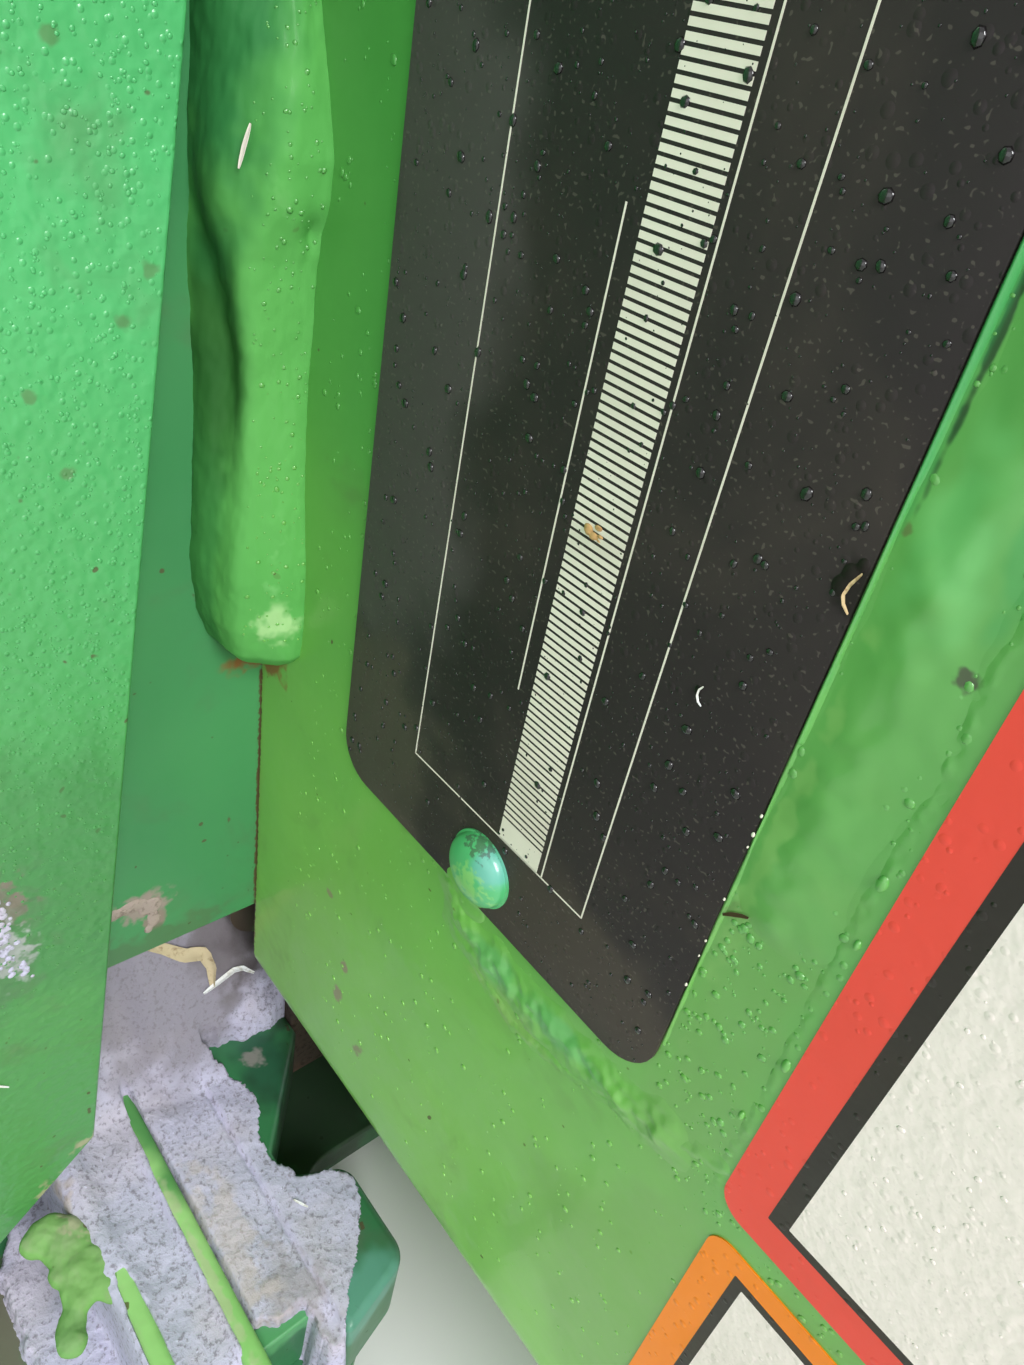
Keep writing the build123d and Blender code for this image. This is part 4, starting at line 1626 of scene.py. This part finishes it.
@dataclass
class Stalk:
    """A bit of dry crop: a narrow strip along a few points, folded along its middle."""

    name: str
    points: tuple[Vector, ...]
    width: float
    finish: Finish
    fold: float
    thick: float = 0.15 * MM
    facing: Vector = field(default_factory=lambda: Vector((0.3, -0.6, 0.74)))
    cells: tuple[int, int] = (24, 4)  # along it, across it
    reach: float = 1.0 * MM  # how far to both sides of a point its direction is taken

    def build(self) -> bpy.types.Object:
        """Bend a grid strip along the points and give it a thickness.

        Returns:
            The stalk piece.
        """
        shape = bmesh.new()
        bmesh.ops.create_grid(shape, x_segments=self.cells[0], y_segments=self.cells[1],
                              size=0.5)
        spans = [0.0]
        for start, end in zip(self.points, self.points[1:]):
            spans.append(spans[-1] + (end - start).length)
        for vert in shape.verts:
            share, side = vert.co.x + 0.5, vert.co.y
            back, place, ahead = [
                Vector([float(np.interp(run, spans, axis)) for axis in zip(*self.points)])
                for run in (share * spans[-1] + step for step in (-self.reach, 0.0, self.reach))]
            forward = (ahead - back).normalized()
            flat = forward.cross(self.facing).normalized()
            lift = flat.cross(forward)
            taper = math.sin(math.pi * min(1.0, 0.06 + share * 0.9)) ** 0.5
            vert.co = (place + flat * side * self.width * taper
                       + lift * self.fold * self.width * abs(side))
        bmesh.ops.solidify(shape, geom=list(shape.faces), thickness=self.thick)
        bmesh.ops.recalc_face_normals(shape, faces=shape.faces)
        return show_shape(shape, self.name, [self.finish], crease=60.0)


@dataclass
class DropField:
    """Rain drops standing on one upright face, as joined low domes."""

    name: str
    finish: Finish
    slot: str
    count: int
    seed: int
    small: float
    large: float
    place: Callable[[np.random.Generator], Vector | None]
    out: Vector
    flatness: float = 0.4
    rarity: float = 3.0

    def template(self) -> tuple[np.ndarray, np.ndarray]:
        """A unit drop's corners and faces, from a low sphere.

        Returns:
            The corners, and the faces as triangles.
        """
        shape = bmesh.new()
        bmesh.ops.create_uvsphere(shape, u_segments=7, v_segments=4, radius=1.0)
        bmesh.ops.triangulate(shape, faces=shape.faces)
        corners = np.array([v.co for v in shape.verts])
        faces = np.array([[v.index for v in f.verts] for f in shape.faces])
        shape.free()
        return corners, faces

    def build(self) -> bpy.types.Object:
        """Scatter the drops and join them.

        Returns:
            The drops piece.
        """
        rng = np.random.default_rng(self.seed)
        corners, faces = self.template()
        turn = np.array(self.out.to_track_quat("Z", "Y").to_matrix())
        base = corners * (1.0, 1.0, self.flatness)
        every, joined = [], []
        while len(every) < self.count:
            spot = self.place(rng)
            if spot is None:
                continue
            radius = self.small + (self.large - self.small) * rng.random() ** self.rarity
            stretch = np.array((1.0 + 0.3 * rng.random(), 1.0, 1.0))
            spin = rng.random() * math.tau
            swing = np.array(((math.cos(spin), math.sin(spin), 0.0),
                              (-math.sin(spin), math.cos(spin), 0.0), (0.0, 0.0, 1.0)))
            shaped = (base * stretch * radius) @ swing @ turn.T + np.array(spot)
            joined.append(faces + len(every) * len(corners))
            every.append(shaped)
        mesh = bpy.data.meshes.new(self.name)
        mesh.from_pydata(np.concatenate(every).tolist(), [], np.concatenate(joined).tolist())
        return show(mesh, self.name, [self.finish], crease=180.0)


@dataclass
class Rain:
    """Where the rain drops stand. A pair is a start and a span, in millimetres or degrees."""

    plate: DataPlate
    red: Sign
    orange: Sign
    bead: UprightBead = field(default_factory=UprightBead)
    cheek_front: Spot = (2.0, 60.0)
    cheek_rise: Spot = (-90.0, 165.0)
    cheek_gap: float = 4.0 * MM
    cheek_lean: float = 7.1
    cheek_margin: float = 0.8 * MM
    bead_turn: Spot = (48.0, 40.0)
    bead_rise: Spot = (-36.0, 94.0)
    beam_right: Spot = (13.0, 125.0)
    beam_rise: Spot = (-112.0, 190.0)
    beam_margin: float = 0.6 * MM
    shelter: float = 0.84  # share of the drops that miss the sheltered part of the face
    shelter_gap: float = 4.0 * MM
    plate_span: Spot = (0.02, 0.96)  # shares of the plate
    panel_margin: float = 0.5 * MM

    def on_cheek(self, rng: np.random.Generator) -> Vector | None:
        """A random spot near the left cheek's leaning rear edge.

        Args:
            rng: the drop field's random draws.

        Returns:
            The spot, or none where it misses the cheek.
        """
        y = PLACES.face_y - (self.cheek_front[0] + self.cheek_front[1] * rng.random()) * MM
        z = (self.cheek_rise[0] + self.cheek_rise[1] * rng.random() ** 0.8) * MM
        lean = math.tan(math.radians(self.cheek_lean))
        edge = PLACES.face_y - self.cheek_gap - (PLACES.tube_high - z) * lean
        return None if y > edge - self.cheek_margin else Vector((PLACES.cheek_x, y, z))

    def on_bead(self, rng: np.random.Generator) -> Vector | None:
        """A random spot on the right half of the left upright bead.

        Args:
            rng: the drop field's random draws.

        Returns:
            The spot.
        """
        angle = self.bead_turn[0] + self.bead_turn[1] * rng.random()
        height = (self.bead_rise[0] + self.bead_rise[1] * rng.random()) * MM
        reach, turn = self.bead.radius(angle, height), math.radians(angle)
        return PLACES.on_face(reach * math.sin(turn), height, reach * math.cos(turn))

    def within(self, piece: DataPlate | Sign, right: float, up: float, room: float) -> bool:
        """Whether a spot lies on a plate or sign, grown by some room."""
        return (piece.left - room < right < piece.right + room
                and piece.low - room < up < piece.high + room)

    def on_beam(self, rng: np.random.Generator) -> Vector | None:
        """A random spot on the beam's face beside and below the data plate.

        Args:
            rng: the drop field's random draws.

        Returns:
            The spot, or none where it falls on a plate or is sheltered.
        """
        right = (self.beam_right[0] + self.beam_right[1] * rng.random()) * MM
        up = (self.beam_rise[0] + self.beam_rise[1] * rng.random()) * MM
        if any(self.within(piece, right, up, self.beam_margin)
               for piece in (self.plate, self.red, self.orange)):
            return None
        sheltered = right < self.plate.right or up < self.red.low - self.shelter_gap
        return None if sheltered and rng.random() < self.shelter else PLACES.on_face(right, up)

    def on_plate(self, rng: np.random.Generator) -> Vector | None:
        """A random spot on the data plate.

        Args:
            rng: the drop field's random draws.

        Returns:
            The spot.
        """
        p, (start, span) = self.plate, self.plate_span
        right = p.left + (p.right - p.left) * (start + span * rng.random())
        up = p.low + (p.high - p.low) * (start + span * rng.random())
        return PLACES.on_face(right, up, p.thick)

    def on_sign(self, rng: np.random.Generator) -> Vector | None:
        """A random spot on the white panel of the red sign.

        Args:
            rng: the drop field's random draws.

        Returns:
            The spot.
        """
        s = self.red
        side = s.side_border + s.side_line + self.panel_margin
        end = s.end_border + s.end_line + self.panel_margin
        right = s.left + side + (s.right - s.left - 2 * side) * rng.random()
        up = s.low + end + (s.high - s.low - 2 * end) * rng.random()
        return PLACES.on_face(right, up, s.film + 2 * s.layer)

    def build(self) -> None:
        """Build the drop fields."""
        left, front = Vector((1.0, 0.0, 0.0)), Vector((0.0, -1.0, 0.0))
        DropField("cheek_drops", Finish.WET_CHEEK, "green_paint", 3400, 11,
                  0.09 * MM, 0.28 * MM, self.on_cheek, left, 0.30, 1.6).build()
        DropField("face_drops", Finish.WET_FACE, "green_paint", 1700, 12,
                  0.12 * MM, 0.50 * MM, self.on_beam, front, 0.30, 2.6).build()
        DropField("bead_drops", Finish.WET_FACE, "painted_weld", 260, 15,
                  0.12 * MM, 0.36 * MM, self.on_bead, Vector((1.0, -0.5, 0.0)), 0.5).build()
        DropField("plate_drops", Finish.WET_BLACK, "data_plate", 1500, 13,
                  0.09 * MM, 0.55 * MM, self.on_plate, front, 0.42, 6.0).build()
        DropField("sign_drops", Finish.FILM_WHITE, "sign_film", 1100, 14,
                  0.10 * MM, 0.34 * MM, self.on_sign, front, 0.16).build()


@dataclass
class Studio:
    """The pale floor, the soft lamps, the world and the camera."""

    eye: Vector = field(default_factory=lambda: Vector((240.7, -111.5, 45.0)) * MM)
    right: Vector = field(default_factory=lambda: Vector((0.63358, 0.75396, 0.17355)))
    up: Vector = field(default_factory=lambda: Vector((-0.53545, 0.26532, 0.80187)))
    focal_pixels: float = 952.9
    sensor: float = 36.0
    clip: float = 0.005
    fill: Colour = (0.95, 0.98, 1.0)
    fill_strength: float = 0.32
    pale: Colour = (0.80, 0.82, 0.84)
    floor_gap: float = 2.0 * MM
    floor_size: float = 12.0
    floor_colours: tuple[Colour, Colour] = ((0.70, 0.70, 0.69), (0.76, 0.76, 0.75))
    aim_shift: float = 0.2
    lamps: tuple[tuple, ...] = (  # name, place from the aim, side, watts
        ("key_lamp", (1.1, -0.25, 0.95), 0.6, 26.0),
        ("front_lamp", (0.45, -1.5, 0.15), 1.7, 10.0),
        ("rear_lamp", (-0.8, 1.4, 1.2), 1.2, 16.0),
    )

    def camera(self) -> None:
        """Set the camera where the photograph was taken from."""
        data = bpy.data.cameras.new("camera")
        data.sensor_fit = "VERTICAL"
        data.sensor_height = self.sensor
        data.lens = self.focal_pixels / PHOTO_SIZE[1] * self.sensor
        data.clip_start = self.clip
        camera = set_out("camera", data)
        right, up = self.right.normalized(), self.up.normalized()
        back = right.cross(up).normalized()
        up = back.cross(right)
        pose = Matrix((right, up, back)).transposed().to_4x4()
        pose.translation = self.eye + Vector((PLACES.mid_x, 0.0, 0.0))
        camera.matrix_world = pose
        bpy.context.scene.camera = camera

    def lamp(self, name: str, place: Vector, aim: Vector, size: float, watts: float) -> None:
        """Add a square soft lamp.

        Args:
            name: the lamp's name.
            place: where it hangs.
            aim: the point it faces.
            size: its side.
            watts: its power.
        """
        data = bpy.data.lights.new(name, "AREA")
        data.energy = watts
        data.size = size
        lamp = set_out(name, data)
        lamp.location = place
        lamp.rotation_euler = (aim - place).to_track_quat("-Z", "Y").to_euler()

    def world(self) -> None:
        """A plain dim world that looks pale to the camera and in reflections."""
        world = bpy.data.worlds.new("studio")
        bpy.context.scene.world = world
        world.use_nodes = True
        nodes, links = world.node_tree.nodes, world.node_tree.links
        nodes.clear()
        grounds = []
        for colour, strength in ((self.fill, self.fill_strength), (self.pale, 1.0)):
            ground = nodes.new("ShaderNodeBackground")
            ground.inputs["Color"].default_value = (*colour, 1.0)
            ground.inputs["Strength"].default_value = strength
            grounds.append(ground)
        path = nodes.new("ShaderNodeLightPath")
        seen = path.outputs["Is Camera Ray"]
        for ray in ("Is Transmission Ray", "Is Glossy Ray"):
            either = nodes.new("ShaderNodeMath")
            either.operation = "MAXIMUM"
            links.new(seen, either.inputs[0])
            links.new(path.outputs[ray], either.inputs[1])
            seen = either.outputs[0]
        mix = nodes.new("ShaderNodeMixShader")
        for socket, source in zip(mix.inputs, (seen, *(g.outputs[0] for g in grounds))):
            links.new(source, socket)
        output = nodes.new("ShaderNodeOutputWorld")
        links.new(mix.outputs[0], output.inputs["Surface"])

    def floor(self) -> None:
        """A wide pale floor just under the beam's lowest edge."""
        shape = bmesh.new()
        bmesh.ops.create_grid(shape, x_segments=1, y_segments=1, size=self.floor_size / 2)
        low = bounds[0][2] - self.floor_gap
        bmesh.ops.translate(shape, verts=shape.verts, vec=(PLACES.mid_x, 0.0, low))
        mesh = as_mesh(shape, "floor")
        shader = Shader("floor_paper")
        colour = shader.mix(shader.noise(6.0), *self.floor_colours)
        shader.set(Base_Color=colour, Roughness=0.9)
        mesh.materials.append(shader.material)
        floor = set_out("floor", mesh)

    def build(self) -> None:
        """Set up the whole studio."""
        bpy.context.scene.view_settings.view_transform = "Standard"
        self.camera()
        self.world()
        self.floor()
        aim = Vector((PLACES.mid_x + self.aim_shift, PLACES.face_y, 0.0))
        for name, place, size, watts in self.lamps:
            self.lamp(name, aim + Vector(place), aim, size, watts)


class HitchBeam:
    """The dressed cross-beam."""

    def __init__(self) -> None:
        """Lay out the pieces that others are set against."""
        self.plate = DataPlate()
        self.red = Sign("red_sign", Finish.FILM_RED, 97.6 * MM, 215.0 * MM, -51.0 * MM,
                        60.0 * MM, 4.9 * MM, 2.1 * MM, 4.6 * MM, 1.2 * MM)
        self.orange = Sign("orange_sign", Finish.FILM_ORANGE, 98.8 * MM, 215.0 * MM,
                           -114.0 * MM, -55.0 * MM, 4.2 * MM, 1.3 * MM, 3.1 * MM, 1.2 * MM,
                           corner=2.6 * MM)

    def paint_runs(self) -> None:
        """The lumpy paint under the plate, and the film edges beside plate and sign."""
        for name, path, *sizes in (  # the sizes in a PaintSkin's order, from its half width on
                ("paint_crust", ((51.5, -47.0), (53.4, -51.2), (57.8, -53.2), (65.9, -53.4),
                                 (75.1, -52.8), (82.8, -51.8), (89.0, -50.6)),
                 4.6, 0.60, 0.34, 0.75, 0.24, 21.0),
                ("paint_film_edge", ((55.0, -55.6), (59.7, -57.4), (66.0, -59.6),
                                     (74.5, -57.4), (86.7, -52.6), (96.6, -46.2)),
                 1.5, 0.16, 0.7, 0.8, 0.25, 22.0),
                ("plate_paint_rim", ((85.5, 2.0), (85.5, 61.0)),
                 0.38, 0.48, 0.12, 0.15, 0.12, 23.0),
                ("plate_paint_rim_low", ((85.4, -39.0), (85.4, 3.0)),
                 0.32, 0.26, 0.3, 0.35, 0.12, 26.0),
                ("plate_paint_bank", ((90.0, -14.0), (89.6, 2.0), (90.4, 20.0), (91.2, 42.0),
                                      (91.6, 60.0)),
                 5.4, 0.50, 0.20, 0.60, 0.45, 25.0),
                ("sign_film_edge", ((96.4, -50.0), (96.2, -28.0), (95.6, -11.0), (96.1, 6.0),
                                    (95.2, 14.0), (95.6, 30.0), (96.2, 60.0)),
                 1.0, 0.075, 0.50, 1.6, 0.22, 24.0, 2.2)):
            PaintSkin(name, path, *sizes).build()
        blobs = blobs_over_face(((96.1, -4.4, 0.5), (96.8, -28.0, 0.5), (96.8, -11.0, 0.35),
                                 (95.6, -38.0, 0.35)), 0.0, 0.45, 1.8)
        Lumps("sign_film_blobs", Finish.WET_FACE, "green_paint", blobs, 0.12 * MM).build()

    def rivet_paint(self) -> None:
        """The paint that bridges the lower rivet and the beam's face."""
        at = self.plate.rivet_at
        blobs = tuple((PLACES.on_face(at[0] + dx * MM, at[1] + dz * MM), Vector(size) * MM)
                      for dx, dz, size in (  # place from the rivet's middle, half sizes
                          (-2.6, -3.8, (2.4, 1.4, 2.2)), (0.0, -5.0, (2.8, 0.7, 2.2)),
                          (-4.0, -5.6, (3.4, 0.6, 2.6)), (-1.4, -7.4, (3.8, 0.45, 3.0))))
        Lumps("rivet_paint", Finish.BEAM_GREEN, "green_paint", blobs, 0.22 * MM, 24).build()

    def plate_wear(self) -> None:
        """The worn nick and chips at the plate's right edge, and the flake on its band."""
        crescent = over_face((84.8, 17.1), (84.3, 16.0), (84.1, 15.0), (84.4, 14.4),
                             (85.0, 13.9), out=0.62)
        Stalk("plate_nick", crescent, 0.24 * MM, Finish.FLAKE, 0.2, 0.12 * MM).build()
        blister = blobs_over_face(((83.6, 15.4, 0.9), (83.9, 16.6, 0.8), (84.6, 17.6, 0.6),
                                   (75.5, 0.5, 0.5)), 0.35, 0.32, 1.2)
        Lumps("plate_blister", Finish.NICK, "data_plate", blister, 0.14 * MM, 6).build()
        rng = np.random.default_rng(41)
        crumbs = zip(rng.normal(0, 0.65, 12), rng.normal(0, 0.42, 12),
                     0.2 + 0.35 * rng.random(12))
        flake = blobs_over_face(((60.1 + dx, 7.7 + dz, r) for dx, dz, r in crumbs),
                                0.5, 0.25, 0.6)
        Lumps("band_flake", Finish.FLAKE, "caked_dust", flake, 0.09 * MM, 1, 0.25 * MM,
              6.0).build()
        chips = blobs_over_face(((85.25, z, r) for z, r in (
            (-6.2, 0.14), (-8.4, 0.18), (-9.9, 0.10), (-16.6, 0.13), (-22.4, 0.12),
            (-24.6, 0.10), (-29.0, 0.15))), 0.5, 0.12, 1.6)
        Lumps("edge_chips", Finish.PRINT_CREAM, "data_plate", chips, 0.05 * MM, 2).build()
        scratch = over_face((85.6, -18.4), (86.3, -17.7), (87.2, -17.0), (87.9, -16.6), out=0.24)
        Stalk("edge_scratch", scratch, 0.32 * MM, Finish.BRONZE, 0.2, 0.12 * MM).build()
        curl = over_face((76.0, 1.3), (75.7, 0.8), (75.7, 0.2), (76.0, -0.3), (76.4, -0.5),
                         out=0.72)
        Stalk("plate_curl", curl, 0.18 * MM, Finish.PALE_STEM, 0.2, 0.10 * MM).build()

    def foot_weld(self) -> None:
        """The lumpy hooked weld at the foot of the left cheek."""
        rng = np.random.default_rng(43)
        arms = (  # thickness; then points by distance from the seam, Y, height over the ribs
            (2.6, ((13.6, -100.0, -1.8), (13.6, -96.6, -1.2), (17.8, -93.6, -1.2),
                   (23.2, -92.3, -1.4), (28.8, -91.3, -1.8))),
            (2.6, ((17.5, -97.5, -2.4), (20.5, -95.5, -1.8), (25.0, -94.6, -1.8))),
            (2.2, ((21.5, -96.5, -2.0), (27.0, -97.6, -2.4), (32.6, -99.8, -3.2))),
        )
        blobs = []
        for thick, points in arms:
            for start, end in zip(points, points[1:]):
                for share in (0.0, 0.33, 0.67, 1.0):
                    spot = Vector(start).lerp(Vector(end), share)
                    spot += Vector(rng.normal(0.0, 0.5, 3) * (1.0, 1.0, 0.5))
                    radius = thick * (0.85 + 0.35 * rng.random())
                    blobs.append((Vector((PLACES.seam_x + spot.x * MM, spot.y * MM,
                                          PLACES.rib_top + spot.z * MM)),
                                  Vector((radius, radius, radius * 0.75)) * MM))
        Lumps("foot_weld", Finish.FOOT_GREEN, "painted_weld", tuple(blobs), 0.42 * MM, 18,
              0.30 * MM, 8.0).build()

    def crumbs(self) -> None:
        """Dirt caked in the web plate's corner, and crumbs of it on the cheek."""
        web = tuple((Vector((PLACES.seam_x, y * MM, z * MM)), Vector((0.30, half, tall)) * MM)
                    for y, z, half, tall in (
                        (-76.4, -89.4, 2.4, 1.3), (-73.0, -89.2, 2.6, 1.6),
                        (-70.0, -90.8, 2.2, 2.0), (-69.6, -94.2, 1.3, 2.2),
                        (-70.6, -96.4, 0.8, 1.0)))
        Lumps("web_dirt", Finish.CRUMBS, "caked_dust", web, 0.16 * MM, 6, 0.22 * MM, 4.0).build()
        cheek = tuple(Vector((PLACES.cheek_x, y * MM, z * MM)) for y, z in (
            (-95.5, -64.0), (-93.6, -71.0), (-94.6, -77.0), (-92.6, -84.0)))
        CrumbTrail("cheek_crumbs", cheek).build()

    def chaff(self, bed: DustBed) -> None:
        """The folded leaf, the pale stems and the chip on the bead.

        Args:
            bed: the dust that the stalks lie on.
        """
        leaf = bed.along((-14.6, -66.1, 1.6), (-13.4, -62.6, 2.0), (-11.7, -59.1, 2.4),
                         (-11.0, -55.3, 2.6), (-9.7, -54.2, 1.6), (-8.0, -54.8, 0.8))
        Stalk("leaf", leaf, 2.8 * MM, Finish.STRAW, 0.35).build()
        stem = bed.along((-7.6, -57.1, 1.0), (-8.3, -50.0, 1.6), (-8.2, -48.0, 1.4),
                         (-7.4, -45.7, 0.8))
        Stalk("stem", stem, 1.1 * MM, Finish.PALE_STEM, 0.5).build()
        straw = bed.along((34.6, -59.1, 0.3), (37.4, -57.6, 0.4))
        Stalk("straw", straw, 0.45 * MM, Finish.PALE_STEM, 0.5).build()
        fibre = tuple(Vector((PLACES.cheek_x + 0.2 * MM, y * MM, z * MM)) for y, z in (
            (-100.2, -104.4), (-98.9, -106.0), (-97.8, -107.2)))
        Stalk("fibre", fibre, 0.3 * MM, Finish.PALE_STEM, 0.5).build()
        chip = tuple(PLACES.on_face(x * MM, z * MM, out * MM) for x, z, out in (
            (9.5, 30.6, 8.3), (9.1, 28.4, 8.8), (8.8, 26.4, 9.2)))
        Stalk("chip", chip, 0.62 * MM, Finish.PRINT_CREAM, 0.2).build()

    def build(self) -> None:
        """Build every piece, in order."""
        SteelWork().build()
        WeldPlan().build()
        self.plate.build()
        self.plate.rivets()
        self.red.build()
        self.orange.build()
        self.paint_runs()
        self.rivet_paint()
        self.plate_wear()
        self.foot_weld()
        bed = DustBed()
        bed.build()
        self.crumbs()
        self.chaff(bed)
        Rain(self.plate, self.red, self.orange).build()


def main() -> None:
    """Build the studio and the dressed beam."""
    logging.basicConfig(level=logging.INFO, format="%(message)s")
    Studio().build()
    HitchBeam().build()


if __name__ == "__main__":
    main()
